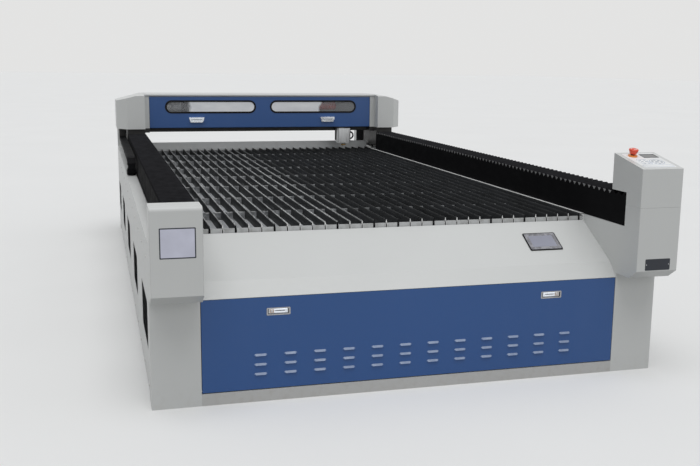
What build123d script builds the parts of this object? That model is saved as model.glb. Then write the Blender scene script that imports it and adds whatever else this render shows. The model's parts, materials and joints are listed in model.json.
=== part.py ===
from build123d import *
from math import asin, atan2, cos, hypot, sin
import os

os.makedirs("parts", exist_ok=True)

# Flatbed laser cutter with a moving gantry, in millimetres.
# X is the width, Y runs from the operator's end towards the rear, Z is up.
# The origin is at the middle of the footprint, on the floor.

# Overall sizes
machine_width = 2150
machine_length = 4350
corner_width = 190
corner_depth = 110
box_reach = 152
box_rise = 38
box_bevel = 55

# Sheets, tubes and running clearances
sheet = 2
tube = 80
weld_gap = 0.2
clearance = 0.3

# Heights above the floor
beam_top = 640
beam_height = 80
bellows_floor = 653
bellows_height = 137
box_underside = 440
left_box_height = 366

# Front door
plinth_height = 48
plinth_depth = 60
door_gap = 4
door_side_gap = 2.5
door_height = 368
door_flange = 18
pivot_radius = 3
pivot_inset = 7
pivot_reach = 16
louvre_margin = 200
louvre_rows = 3
louvre_width = 54
louvre_height = 9
louvre_lift = 6
louvre_taper = 53
louvre_skin = 3
louvre_slit = 3
louvre_column_pitch = 119
louvre_row_pitch = 38.5
louvre_foot = 57
latch_inset = 302
latch_width = 94
latch_height = 30
latch_drop = 58
latch_depth = 14
latch_side_rim = 4
latch_end_rim = 3
latch_wall = 1.5
latch_pin_radius = 1
paddle_thickness = 2.5
paddle_roll = 2.2
paddle_drop = 4.2
paddle_setback = 3
paddle_side_gap = 6
paddle_foot_gap = 4

# Apron between the door and the bed
band_rise = 58
band_run = 54
apron_rise = 142
apron_run = 246
apron_return = 120
apron_hem = 30
screen_inset = 261
screen_width = 153
screen_length = 112
screen_setback = 90
bezel_height = 4
bezel_rim = 12
bezel_corner = 6

# Bed
blade_margin = 12
blade_pitch = 54
blade_thickness = 8
blade_depth = 42
blade_bevel = 24
blade_edge = 1
blade_length = 3500
blade_rise = 15
blade_seat = 8
blade_end_gap = 1
comb_thickness = 6
comb_inset = 1
comb_clearance = 0.3
cross_height = 40
cross_width = 40
cross_margin = 200
cross_pitch = 450
cross_first = 425
wall_thickness = 3
wall_lip = 8
rear_wall_rise = 52
rear_wall_gap = 5
panel_opening_count = 5
panel_opening_length = 430
panel_opening_margin = 20
panel_opening_height = 200
panel_opening_centre = 295
panel_opening_radius = 12
scrap_tray_drop = 25

# Rails, racks and bellows on the long sides
frame_inset = 5
rail_beam_wall = 6
rail_width = 20
rail_height = 24
rail_groove_radius = 2.5
rail_groove_height = 14
rail_front_gap = 20
rail_rear_gap = 10
rack_size = 20
rack_offset = 38
bearing_width = 48
bearing_length = 90
bearing_inset = 15
bearing_lift = 10
bearing_cover = 18
carriage_inset = 4
bellows_width = 133
bellows_wall = 3
bellows_start = 42
bellows_lift = 2
pleat_pitch = 35
pleat_depth = 16
packed_pleat_count = 34

# Side tray and drag chain
tray_flange = 55
tray_height = 15
tray_gap = 3
chain_width = 48
chain_height = 25
chain_bend_radius = 42
chain_link = 33
chain_link_gap = 5
chain_front = 2075
chain_fixed_length = 92
chain_pin_recess = 3
bend_links = 5
bracket_thickness = 6
bracket_foot = 50
bracket_setback = 85

# Console on the right front corner
console_seam = 743
console_front_top = 902
console_back_top = 949
console_overhang = 112
console_underside = 794
seam_bevel = 1.5
fold_radius = 4
roll_radius = 16
panel_margin = 20
panel_thickness = 1
panel_corner = 5
display_gap = 0.5
display_width = 72
display_depth = 48
stop_collar_radius = 19
stop_collar_height = 7
stop_stem_radius = 8
stop_head_radius = 20
stop_head_height = 14
stop_head_lip = 4
stop_dome = 5
stop_travel = 4
stop_bore_spare = 2
stop_offset = 35
stop_setback = 172

# Gantry
rear_box_depth = 68
rear_bellows_length = 200
carriage_length = 370
cap_overlap = 30
cap_reach = 100
cap_width = 201
cap_front_width = 128
cap_height = 253
cap_front_drop = 12
cap_front_slope = 110
cap_side_drop = 48
cap_side_flat = 20
gantry_underside = 794
cap_floor = 826
end_frame_width = 36
cover_height = 18
cover_rise = 1
lid_height = 233
lid_flange = 14
lid_top_gap = 2
lid_hinge_inset = 7
lid_fold_radius = 4
lid_pin_radius = 3
lid_pin_reach = 14
window_end_margin = 119
window_gap = 120
window_height = 86
window_centre = 984
seal_outside = 6
seal_inside = 7
seal_height = 2
pane_thickness = 3
handle_inset = 345
handle_width = 126
handle_height = 44
handle_slant = 72
handle_corner = 6
handle_taper = 12
handle_mouth = 78
handle_depth = 17
handle_wall = 5
handle_centre = 887
cross_beam_depth = 120
cross_beam_height = 106
cross_beam_setback = 70
cross_beam_wall = 6
tube_radius = 40
tube_length = 1250
tube_inset = 100
tube_centre = 985
tube_shoulder = 14
electrode_radius = 26
electrode_length = 70
boot_radius = 34
boot_length = 110
boot_overlap = 50
boot_round = 8.5
clamp_width = 40
clamp_count = 3
clamp_pitch = 460
clamp_wall = 8
saddle_inset = 5
mirror_gap = 60
mirror_radius = 22
mirror_plate = 8
mirror_length = 12
head_rail_width = 20
head_rail_depth = 12
head_rail_drop = 50
head_rail_end_gap = 20

# Head
head_inset = 213
head_plate_width = 120
head_plate_thickness = 8
head_plate_foot = 16
head_plate_rise = 34
slide_inset = 10
slide_reach = 24
slide_gap = 2
head_block_width = 104
head_block_depth = 56
head_block_height = 112
head_block_floor = 704
head_bevel = 8
lens_tube_radius = 16
lens_tube_length = 96
nozzle_tip = 672
nozzle_length = 26
nozzle_shoulder = 6
nozzle_mouth = 3
nozzle_bore = 1.5
hose_radius = 6
hose_bend = 26

# Rear end
rear_recess = 78
spigot_radius = 75
spigot_length = 72
spigot_wall = 2
spigot_flange = 15
spigot_inset = 455
spigot_centre = 300

# Values worked out from the sizes above
outer = machine_width / 2
bed_half = outer - corner_width
front = -machine_length / 2
rear = machine_length / 2
leg_front = front + box_reach
leg_back = leg_front + corner_depth
rear_leg_front = rear - corner_depth
bellows_top = bellows_floor + bellows_height
bellows_front = leg_front - bellows_start
bellows_outer = bed_half + bellows_width
left_box_top = box_underside + left_box_height
frame_half = outer - frame_inset
door_bottom = plinth_height + door_gap
door_top = door_bottom + door_height
band_top = door_top + sheet + band_rise
apron_top = band_top + apron_rise
apron_back = leg_front + band_run + apron_run
blade_front = apron_back + sheet + blade_end_gap
blade_back = blade_front + blade_length
blade_top = beam_top + blade_rise
blade_bottom = blade_top - blade_depth
bed_wall_back = blade_back + rear_wall_gap
tray_floor = beam_top + tray_height
carriage_back = rear - rear_box_depth - rear_bellows_length
carriage_front = carriage_back - carriage_length
cap_front = carriage_front - cap_overlap
cap_back = carriage_back + cap_overlap
lid_front = cap_front + cap_reach
cap_top = cap_floor + cap_height
cover_top = cap_top + cover_rise
cover_underside = cover_top - cover_height
lid_top = cover_underside - lid_top_gap
lid_bottom = lid_top - lid_height
frame_outer = bed_half + carriage_inset
beam_half = frame_outer - end_frame_width
lid_half = beam_half - lid_top_gap
screen_offset = bed_half - screen_inset
latch_offset = bed_half - latch_inset
spigot_offset = bed_half - spigot_inset
handle_offset = lid_half - handle_inset
head_offset = beam_half - head_inset
window_width = lid_half - window_end_margin - window_gap / 2
window_offset = (window_gap + window_width) / 2
cross_beam_front = lid_front + cross_beam_setback
rail_centre = bed_half + bellows_width / 2
lip_top = bellows_floor - bellows_lift
slope_angle = atan2(apron_rise, apron_run)
console_back = bellows_front + console_overhang
panel_opening_first = leg_back + panel_opening_margin
panel_opening_last = rear_leg_front - panel_opening_margin - panel_opening_length
panel_opening_pitch = (panel_opening_last - panel_opening_first) / (panel_opening_count - 1)
console_slope = atan2(console_back_top - console_front_top, console_back - front)


def save(piece, name):
    """Label a finished piece and write it."""
    piece.part.label = name
    export_step(piece.part, f"parts/{name}.step")


def block(x, y, z, mode=Mode.ADD):
    """A rectangular block between pairs of coordinates."""
    with Locations(((x[0] + x[1]) / 2, (y[0] + y[1]) / 2, (z[0] + z[1]) / 2)):
        Box(x[1] - x[0], y[1] - y[0], z[1] - z[0], mode=mode)


def sides(inner, width, side):
    """The X range of a piece that starts at inner and is width wide, on the side -1 or 1."""
    return tuple(sorted((side * inner, side * (inner + width))))


# Base frame: sills, posts and cross tubes, butt welded; the posts stand between the side openings
first_post = panel_opening_first + (panel_opening_length + panel_opening_pitch) / 2
post_stations = [first_post + index * panel_opening_pitch for index in range(panel_opening_count - 1)]

with BuildPart() as base_frame:
    for side in (-1, 1):
        block(
            sides(frame_half - tube, tube, side),
            (leg_back + weld_gap, rear_leg_front - weld_gap),
            (0, tube),
        )
        for station in post_stations:
            block(
                sides(frame_half - tube, tube, side),
                (station - tube / 2, station + tube / 2),
                (tube + weld_gap, beam_top - beam_height - weld_gap),
            )
    for station in post_stations:
        block(
            (weld_gap + tube - frame_half, frame_half - tube - weld_gap),
            (station - tube / 2, station + tube / 2),
            (0, tube),
        )
save(base_frame, "base_frame")


# Corner legs
def corner_leg(side, start):
    """One corner column that carries a rail end."""
    with BuildSketch(Plane.XY) as footprint:
        with Locations((side * (bed_half + corner_width / 2), start + corner_depth / 2)):
            Rectangle(corner_width, corner_depth)
    extrude(footprint.sketch, amount=beam_top)


def inner_cheek(side):
    """Flat cheek behind a front leg, beside the slope of the apron, with a low lip along the bellows."""
    with BuildSketch(Plane.YZ.offset(side * bed_half)) as cheek:
        with BuildLine():
            Polyline(
                (leg_back, band_top),
                (apron_back, band_top),
                (apron_back, lip_top),
                (leg_front, lip_top),
                (leg_front, beam_top),
                (leg_back, beam_top),
                close=True,
            )
        make_face()
    extrude(cheek.sketch, amount=side * sheet)


with BuildPart() as corner_legs:
    for side in (-1, 1):
        corner_leg(side, leg_front)
        corner_leg(side, rear_leg_front)
        inner_cheek(side)
save(corner_legs, "corner_legs")

# Front plinth: a folded channel below the door, open to the rear
with BuildPart() as front_plinth:
    with BuildSketch(Plane.YZ.offset(-bed_half)):
        with BuildLine():
            Polyline(
                (leg_front + plinth_depth, 0),
                (leg_front, 0),
                (leg_front, plinth_height),
                (leg_front + plinth_depth, plinth_height),
            )
            offset(amount=sheet, side=Side.RIGHT)
        make_face()
    extrude(amount=2 * bed_half)
save(front_plinth, "front_plinth")

# Apron: one folded sheet from the door head over the slope and down behind the blades
screen_reach = screen_setback + screen_length / 2
screen_plane = Plane(
    origin=(
        screen_offset,
        leg_front + band_run + cos(slope_angle) * screen_reach,
        band_top + sin(slope_angle) * screen_reach,
    ),
    x_dir=(1, 0, 0),
    z_dir=(0, -sin(slope_angle), cos(slope_angle)),
)

with BuildPart() as front_apron:
    with BuildSketch(Plane.YZ.offset(-bed_half)):
        with BuildLine():
            Polyline(
                (leg_front + apron_hem, door_top + sheet),
                (leg_front, door_top + sheet),
                (leg_front + band_run, band_top),
                (apron_back, apron_top),
                (apron_back, apron_top - apron_return),
            )
            offset(amount=sheet, side=Side.RIGHT)
        make_face()
    extrude(amount=2 * bed_half)
    # Seat for the touch screen
    with BuildSketch(screen_plane):
        Rectangle(screen_width - 2 * bezel_rim, screen_length - 2 * bezel_rim)
    extrude(amount=3 * sheet, both=True, mode=Mode.SUBTRACT)
save(front_apron, "front_apron")

with BuildPart() as screen_bezel:
    with BuildSketch(screen_plane):
        RectangleRounded(screen_width, screen_length, bezel_corner)
        Rectangle(screen_width - 2 * bezel_rim, screen_length - 2 * bezel_rim, mode=Mode.SUBTRACT)
    extrude(amount=bezel_height)
save(screen_bezel, "screen_bezel")

with BuildPart() as touch_screen:
    with BuildSketch(screen_plane.offset(-sheet)):
        Rectangle(
            screen_width - 2 * bezel_rim - 2 * clearance,
            screen_length - 2 * bezel_rim - 2 * clearance,
        )
    extrude(amount=sheet + bezel_height - 1)
save(touch_screen, "touch_screen")


# Front door: a folded sheet pan with pressed louvres, hung on two pivot pins at its lower edge
door_half = bed_half - door_side_gap
pivot_y = leg_front + pivot_inset
pivot_z = door_bottom + pivot_inset
louvre_columns = int(2 * (door_half - louvre_margin) / louvre_column_pitch) + 1
louvre_centre = door_bottom + louvre_foot + louvre_row_pitch * (louvre_rows - 1) / 2
latch_centre = door_top - latch_drop
latch_opening_width = latch_width - 2 * latch_side_rim
latch_opening_height = latch_height - 2 * latch_end_rim

with BuildPart() as front_door:
    block((-door_half, door_half), (leg_front, leg_front + door_flange), (door_bottom, door_top))
    block(
        (sheet - door_half, door_half - sheet),
        (leg_front + sheet, leg_front + door_flange),
        (door_bottom + sheet, door_top - sheet),
        mode=Mode.SUBTRACT,
    )
    # Pressed hoods: the upper half of a sloping boss, cut off flat along its lip
    with BuildSketch(Plane.XZ.offset(-leg_front)) as hoods:
        with Locations((0, louvre_centre)):
            with GridLocations(louvre_column_pitch, louvre_row_pitch, louvre_columns, louvre_rows):
                SlotOverall(louvre_width, 2 * louvre_height)
    extrude(hoods.sketch, amount=louvre_lift, taper=louvre_taper)
    with BuildSketch(Plane.XZ.offset(-leg_front)) as lower_halves:
        with Locations((0, louvre_centre - louvre_height / 2)):
            with GridLocations(louvre_column_pitch, louvre_row_pitch, louvre_columns, louvre_rows):
                Rectangle(louvre_width, louvre_height)
    extrude(lower_halves.sketch, amount=louvre_lift, mode=Mode.SUBTRACT)
    # Slits through the sheet behind the lips, open downwards
    with BuildSketch(Plane.XZ.offset(louvre_skin - leg_front)) as slits:
        with Locations((0, louvre_centre + louvre_slit / 2)):
            with GridLocations(louvre_column_pitch, louvre_row_pitch, louvre_columns, louvre_rows):
                Rectangle(louvre_width - 2 * louvre_height, louvre_slit)
    extrude(slits.sketch, amount=-louvre_skin - 2 * sheet, mode=Mode.SUBTRACT)
    # Openings for the latch cups
    with BuildSketch(Plane.XZ.offset(-leg_front)) as openings:
        with Locations((0, latch_centre)):
            with GridLocations(2 * latch_offset, 0, 2, 1):
                Rectangle(latch_opening_width, latch_opening_height)
    extrude(openings.sketch, amount=2 * sheet, both=True, mode=Mode.SUBTRACT)
    # Holes for the pivot pins through both end flanges
    with BuildSketch(Plane.YZ.offset(-bed_half)) as holes:
        with Locations((pivot_y, pivot_z)):
            Circle(pivot_radius + clearance)
    extrude(holes.sketch, amount=2 * bed_half, mode=Mode.SUBTRACT)
save(front_door, "front_door")

with BuildPart() as door_pivots:
    for side in (-1, 1):
        with BuildSketch(Plane.YZ.offset(side * bed_half)) as pin:
            with Locations((pivot_y, pivot_z)):
                Circle(pivot_radius)
        extrude(pin.sketch, amount=-side * pivot_reach)
save(door_pivots, "door_pivots")

# Recessed latches: a cup in the door and a paddle hung at its upper edge
cup_half_width = latch_opening_width / 2 - clearance
cup_half_height = latch_opening_height / 2 - clearance
paddle_half = cup_half_width - paddle_side_gap
paddle_axis_z = latch_centre + cup_half_height - paddle_drop
paddle_axis_y = leg_front + paddle_setback
paddle_face = paddle_axis_y - paddle_roll
paddle_foot = latch_centre - cup_half_height + paddle_foot_gap

with BuildPart() as latch_cups:
    for side in (-1, 1):
        with BuildSketch(Plane.XZ.offset(-leg_front)) as rim:
            with Locations((side * latch_offset, latch_centre)):
                RectangleRounded(latch_width, latch_height, latch_side_rim)
        extrude(rim.sketch, amount=1)
        block(
            (side * latch_offset - cup_half_width, side * latch_offset + cup_half_width),
            (leg_front, leg_front + latch_depth),
            (latch_centre - cup_half_height, latch_centre + cup_half_height),
        )
        block(
            (
                side * latch_offset - cup_half_width + latch_wall,
                side * latch_offset + cup_half_width - latch_wall,
            ),
            (leg_front - 1, leg_front + latch_depth - latch_wall),
            (latch_centre - cup_half_height + latch_wall, latch_centre + cup_half_height - latch_wall),
            mode=Mode.SUBTRACT,
        )
        # Hinge pin across the cup
        with BuildSketch(Plane.YZ.offset(side * latch_offset - cup_half_width)) as pin:
            with Locations((paddle_axis_y, paddle_axis_z)):
                Circle(latch_pin_radius)
        extrude(pin.sketch, amount=2 * cup_half_width)
save(latch_cups, "latch_cups")


def latch_paddle(side):
    """Flat pull paddle with a rolled upper edge around the hinge pin and a finger lip below."""
    with BuildSketch(Plane.YZ.offset(side * latch_offset - paddle_half)) as profile:
        with Locations((paddle_axis_y, paddle_axis_z)):
            Circle(paddle_roll)
        with BuildLine():
            Polyline(
                (paddle_face, paddle_axis_z),
                (paddle_face + paddle_thickness, paddle_axis_z),
                (paddle_face + paddle_thickness, paddle_foot),
                (paddle_face, paddle_foot),
                close=True,
            )
        make_face()
        with Locations((paddle_axis_y, paddle_axis_z)):
            Circle(latch_pin_radius + clearance, mode=Mode.SUBTRACT)
    extrude(profile.sketch, amount=2 * paddle_half)


with BuildPart() as latch_paddle_left:
    latch_paddle(-1)
save(latch_paddle_left, "latch_paddle_left")

with BuildPart() as latch_paddle_right:
    latch_paddle(1)
save(latch_paddle_right, "latch_paddle_right")

# Left end box: folded cover with a rolled upper edge and a bevel under its front
with BuildPart() as end_box_left:
    with BuildSketch(Plane.YZ.offset(-outer)):
        with BuildLine():
            Polyline(
                (leg_front, box_underside),
                (front + box_bevel, box_underside),
                (front, box_underside + box_rise),
                (front, left_box_top),
                (bellows_front, left_box_top),
                (bellows_front, beam_top),
                (leg_front, beam_top),
                close=True,
            )
        make_face()
    extrude(amount=corner_width)
    fillet(end_box_left.edges().filter_by(Axis.X).group_by(Axis.Z)[-1].sort_by(Axis.Y)[0], roll_radius)
    fillet(end_box_left.edges().filter_by(Axis.Z).group_by(Axis.Y)[0], fold_radius)
    block((-bed_half - sheet, -bed_half), (bellows_front, leg_front), (beam_top, lip_top))
save(end_box_left, "end_box_left")

# Right pedestal with the same bevel
with BuildPart() as console_pedestal:
    with BuildSketch(Plane.YZ.offset(bed_half)):
        with BuildLine():
            Polyline(
                (leg_front, box_underside),
                (front + box_bevel, box_underside),
                (front, box_underside + box_rise),
                (front, console_seam - weld_gap),
                (bellows_front, console_seam - weld_gap),
                (bellows_front, beam_top),
                (leg_front, beam_top),
                close=True,
            )
        make_face()
    extrude(amount=corner_width)
    fillet(console_pedestal.edges().filter_by(Axis.Z).group_by(Axis.Y)[0], fold_radius)
    chamfer(console_pedestal.edges().group_by(Axis.Z)[-1], seam_bevel)
    block((bed_half, bed_half + sheet), (bellows_front, leg_front), (beam_top, lip_top))
save(console_pedestal, "console_pedestal")

# Console box on the pedestal; its sloped top carries the overlay, display and emergency stop
console_plane = Plane(
    origin=(bed_half + corner_width / 2, front, console_front_top),
    x_dir=(1, 0, 0),
    z_dir=(0, -sin(console_slope), cos(console_slope)),
)
slope_length = hypot(console_back - front, console_back_top - console_front_top)
stop_x = bed_half + stop_offset + stop_collar_radius - console_plane.origin.X
stop_radius = stop_collar_radius + clearance

stop_plane = Plane(
    origin=console_plane.from_local_coords((stop_x, stop_setback, 0)),
    x_dir=(1, 0, 0),
    z_dir=console_plane.z_dir,
)

with BuildPart() as console_box:
    with BuildSketch(Plane.YZ.offset(bed_half)):
        with BuildLine():
            Polyline(
                (front, console_seam),
                (front, console_front_top),
                (console_back, console_back_top),
                (console_back, console_underside),
                (bellows_front, console_underside),
                (bellows_front, console_seam),
                close=True,
            )
        make_face()
    extrude(amount=corner_width)
    fillet(console_box.edges().filter_by(Axis.Z).group_by(Axis.Y)[0], fold_radius)
    # Bore that the stem of the emergency stop sinks into
    with BuildSketch(stop_plane):
        Circle(stop_stem_radius + clearance)
    extrude(amount=-(stop_travel + stop_bore_spare), mode=Mode.SUBTRACT)
save(console_box, "console_box")

with BuildPart() as membrane_panel:
    with BuildSketch(console_plane):
        with Locations((0, slope_length / 2)):
            RectangleRounded(corner_width - 2 * panel_margin, slope_length - 2 * panel_margin, panel_corner)
        with Locations((stop_x, stop_setback)):
            Circle(stop_radius, mode=Mode.SUBTRACT)
        with Locations((display_width / 2, stop_setback)):
            Rectangle(display_width + 2 * display_gap, display_depth + 2 * display_gap, mode=Mode.SUBTRACT)
    extrude(amount=panel_thickness)
save(membrane_panel, "membrane_panel")

with BuildPart() as console_display:
    with BuildSketch(console_plane):
        with Locations((display_width / 2, stop_setback)):
            Rectangle(display_width, display_depth)
    extrude(amount=panel_thickness)
save(console_display, "console_display")

with BuildPart() as stop_collar:
    with BuildSketch(stop_plane):
        Circle(stop_collar_radius)
        Circle(stop_stem_radius + clearance, mode=Mode.SUBTRACT)
    extrude(amount=stop_collar_height)
save(stop_collar, "stop_collar")

head_seat = stop_collar_height + stop_travel + 1
with BuildPart() as stop_stem:
    with BuildSketch(stop_plane.offset(clearance)):
        Circle(stop_stem_radius)
    extrude(amount=head_seat - clearance)
save(stop_stem, "stop_stem")

profile_plane = Plane(
    origin=stop_plane.origin,
    x_dir=(1, 0, 0),
    z_dir=(0, -cos(console_slope), -sin(console_slope)),
)
dome_radius = (stop_head_radius**2 + stop_dome**2) / (2 * stop_dome)
dome_half_angle = asin(stop_head_radius / dome_radius) / 2
head_low = head_seat + clearance
head_high = head_low + stop_head_height

with BuildPart() as stop_head:
    with BuildSketch(profile_plane):
        with BuildLine():
            Polyline(
                (0, head_high),
                (0, head_low),
                (stop_head_radius - stop_head_lip, head_low),
                (stop_head_radius, head_low + stop_head_lip),
                (stop_head_radius, head_high - stop_dome),
            )
            ThreePointArc(
                (stop_head_radius, head_high - stop_dome),
                (
                    dome_radius * sin(dome_half_angle),
                    head_high - dome_radius * (1 - cos(dome_half_angle)),
                ),
                (0, head_high),
            )
        make_face()
    revolve(axis=Axis(stop_plane.origin, stop_plane.z_dir))
save(stop_head, "stop_head")

# Side panels with long openings, and the trays along both sides
with BuildPart() as side_panels:
    with BuildSketch(Plane.YZ.offset(-outer)) as panel:
        with Locations(((leg_back + rear_leg_front) / 2, tube / 2)):
            Rectangle(
                rear_leg_front - leg_back,
                tray_floor - tray_flange - tube / 2,
                align=(Align.CENTER, Align.MIN),
            )
        with Locations(((leg_back + rear_leg_front) / 2, panel_opening_centre)):
            with GridLocations(panel_opening_pitch, 0, panel_opening_count, 1):
                RectangleRounded(
                    panel_opening_length,
                    panel_opening_height,
                    panel_opening_radius,
                    mode=Mode.SUBTRACT,
                )
    extrude(panel.sketch, amount=sheet)
    mirror(about=Plane.YZ)
save(side_panels, "side_panels")

tray_inner = bellows_outer + tray_gap
with BuildPart() as side_trays:
    for side in (-1, 1):
        with BuildSketch(Plane.XZ.offset(-bellows_front)) as profile:
            with BuildLine():
                Polyline(
                    (side * tray_inner, beam_top),
                    (side * tray_inner, tray_floor),
                    (side * outer, tray_floor),
                    (side * outer, tray_floor - tray_flange),
                )
                offset(amount=sheet, side=Side.RIGHT if side > 0 else Side.LEFT)
            make_face()
        extrude(profile.sketch, amount=bellows_front - rear + rear_box_depth)
    # The flange stops at the corner legs
    for side in (-1, 1):
        for ends in ((bellows_front - 1, leg_back), (rear_leg_front, rear)):
            block(
                tuple(sorted((side * (outer - sheet - 1), side * (outer + 1)))),
                ends,
                (tray_floor - tray_flange - 1, beam_top),
                mode=Mode.SUBTRACT,
            )
save(side_trays, "side_trays")

# Rail beams, guide rails and racks
with BuildPart() as rail_beams:
    for side in (-1, 1):
        block(
            sides(bed_half, frame_half - bed_half, side),
            (leg_back, rear_leg_front),
            (beam_top - beam_height, beam_top),
        )
        block(
            sides(bed_half + rail_beam_wall, frame_half - bed_half - 2 * rail_beam_wall, side),
            (leg_back - 1, rear_leg_front + 1),
            (beam_top - beam_height + rail_beam_wall, beam_top - rail_beam_wall),
            mode=Mode.SUBTRACT,
        )
        # Relief for the cheek behind the front leg
        block(
            sides(bed_half, sheet, side),
            (leg_back, apron_back),
            (beam_top - beam_height, beam_top),
            mode=Mode.SUBTRACT,
        )
save(rail_beams, "rail_beams")

rail_start = bellows_front + rail_front_gap
rail_end = rear - rear_box_depth - rail_rear_gap
with BuildPart() as guide_rails:
    for side in (-1, 1):
        with BuildSketch(Plane.XZ.offset(-rail_start)) as profile:
            with Locations((side * rail_centre, beam_top)):
                Rectangle(rail_width, rail_height, align=(Align.CENTER, Align.MIN))
            with Locations(
                (side * rail_centre - rail_width / 2, beam_top + rail_groove_height),
                (side * rail_centre + rail_width / 2, beam_top + rail_groove_height),
            ):
                Circle(rail_groove_radius, mode=Mode.SUBTRACT)
        extrude(profile.sketch, amount=rail_start - rail_end)
save(guide_rails, "guide_rails")

with BuildPart() as gear_racks:
    for side in (-1, 1):
        block(
            sides(rail_centre - rack_offset - rack_size / 2, rack_size, side),
            (rail_start, rail_end),
            (beam_top, beam_top + rack_size),
        )
save(gear_racks, "gear_racks")

# Bed: side walls with a lip, rear wall, cross beams, slotted combs, blades and scrap tray
cross_bottom = blade_bottom - blade_seat - weld_gap - cross_height
tray_base = cross_bottom - sheet - scrap_tray_drop
with BuildPart() as bed_walls:
    for side in (-1, 1):
        with BuildSketch(Plane.XZ.offset(-apron_back)) as profile:
            with BuildLine():
                Polyline(
                    (side * (bed_half - wall_lip - wall_thickness), bellows_floor - wall_thickness),
                    (side * bed_half, bellows_floor - wall_thickness),
                    (side * bed_half, tray_base),
                )
                offset(amount=wall_thickness, side=Side.RIGHT if side > 0 else Side.LEFT)
            make_face()
        extrude(profile.sketch, amount=apron_back - bed_wall_back)
    block(
        (-bed_half, bed_half),
        (bed_wall_back, bed_wall_back + wall_thickness),
        (tray_base, bellows_floor - wall_thickness),
    )
    block(
        (clearance + wall_thickness - bed_half, bed_half - wall_thickness - clearance),
        (bed_wall_back, bed_wall_back + wall_thickness),
        (bellows_floor - wall_thickness, bellows_floor + rear_wall_rise),
    )
save(bed_walls, "bed_walls")

bed_inner = bed_half - wall_thickness
with BuildPart() as scrap_tray:
    block(
        (-bed_inner, bed_inner),
        (apron_back, bed_wall_back),
        (tray_base, tray_base + scrap_tray_drop),
    )
    block(
        (sheet - bed_inner, bed_inner - sheet),
        (apron_back + sheet, bed_wall_back - sheet),
        (tray_base + sheet, tray_base + scrap_tray_drop),
        mode=Mode.SUBTRACT,
    )
save(scrap_tray, "scrap_tray")

cross_count = int((blade_length - cross_first - cross_margin) / cross_pitch) + 1
cross_places = [blade_front + cross_first + index * cross_pitch for index in range(cross_count)]
end_places = [blade_front + comb_inset, blade_back - comb_thickness - comb_inset]
slot_width = blade_thickness + 2 * comb_clearance
blade_count = int(2 * (bed_inner - blade_margin) / blade_pitch) + 1

with BuildPart() as blade_combs:
    with BuildSketch(Plane.XZ) as comb:
        with Locations((0, blade_bottom - blade_seat)):
            Rectangle(
                2 * bed_inner,
                beam_top - blade_bottom + blade_seat,
                align=(Align.CENTER, Align.MIN),
            )
        with Locations((0, blade_bottom)):
            with GridLocations(blade_pitch, 0, blade_count, 1):
                Rectangle(
                    slot_width,
                    beam_top - blade_bottom + 1,
                    align=(Align.CENTER, Align.MIN),
                    mode=Mode.SUBTRACT,
                )
    for place in cross_places + end_places:
        extrude(Location((0, place, 0)) * comb.sketch, amount=-comb_thickness)
save(blade_combs, "blade_combs")

with BuildPart() as cross_beams:
    for place in cross_places:
        block(
            (-bed_inner, bed_inner),
            (place + comb_thickness / 2 - cross_width / 2, place + comb_thickness / 2 + cross_width / 2),
            (cross_bottom, cross_bottom + cross_height),
        )
save(cross_beams, "cross_beams")

# Blade section: a narrow bar whose upper part tapers to a ridge
with BuildPart() as knife_blades:
    with BuildSketch(Plane.XZ.offset(-blade_front)) as section:
        with BuildLine():
            Polyline(
                (-blade_thickness / 2, blade_bottom),
                (-blade_thickness / 2, blade_top - blade_bevel),
                (-blade_edge / 2, blade_top),
                (blade_edge / 2, blade_top),
                (blade_thickness / 2, blade_top - blade_bevel),
                (blade_thickness / 2, blade_bottom),
                close=True,
            )
        make_face()
    with GridLocations(blade_pitch, 1, blade_count, 1):
        add(extrude(section.sketch, amount=-blade_length, mode=Mode.PRIVATE))
save(knife_blades, "knife_blades")


# Bellows: an inverted channel of pleated sheet, its folds showing as teeth along the top
def bellows(side, start, end, pleats):
    """Pleated cover between two Y positions on one side of the bed."""
    pitch = (end - start) / pleats
    crest = bellows_top
    valley = bellows_top - pleat_depth
    teeth = [
        (start + pitch * index / 2, crest if index % 2 else valley)
        for index in range(2 * pleats + 1)
    ]
    with BuildSketch(Plane.YZ.offset(side * bed_half)) as outline:
        with BuildLine():
            Polyline((start, bellows_floor), *teeth, (end, bellows_floor), close=True)
        make_face()
    extrude(outline.sketch, amount=side * bellows_width)
    block(
        sides(bed_half + bellows_wall, bellows_width - 2 * bellows_wall, side),
        (start - 1, end + 1),
        (bellows_floor - 1, valley - bellows_wall),
        mode=Mode.SUBTRACT,
    )


front_pleats = round((carriage_front - bellows_front) / pleat_pitch)
rear_bellows_start = carriage_back + clearance
rear_bellows_end = rear - rear_box_depth - clearance

with BuildPart() as bellows_front_left:
    bellows(-1, bellows_front + clearance, carriage_front - clearance, front_pleats)
save(bellows_front_left, "bellows_front_left")

with BuildPart() as bellows_front_right:
    bellows(1, bellows_front + clearance, carriage_front - clearance, front_pleats)
save(bellows_front_right, "bellows_front_right")

with BuildPart() as bellows_rear_left:
    bellows(-1, rear_bellows_start, rear_bellows_end, packed_pleat_count)
save(bellows_rear_left, "bellows_rear_left")

with BuildPart() as bellows_rear_right:
    bellows(1, rear_bellows_start, rear_bellows_end, packed_pleat_count)
save(bellows_rear_right, "bellows_rear_right")

# Drag chain in the left tray
chain_x = (-tray_inner - outer) / 2
chain_floor = tray_floor + clearance
chain_rise = 2 * chain_bend_radius
bend_y = leg_front + chain_front + chain_bend_radius + chain_height / 2
bend_z = chain_floor + chain_height / 2 + chain_bend_radius
bracket_y = lid_front + bracket_setback


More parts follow.
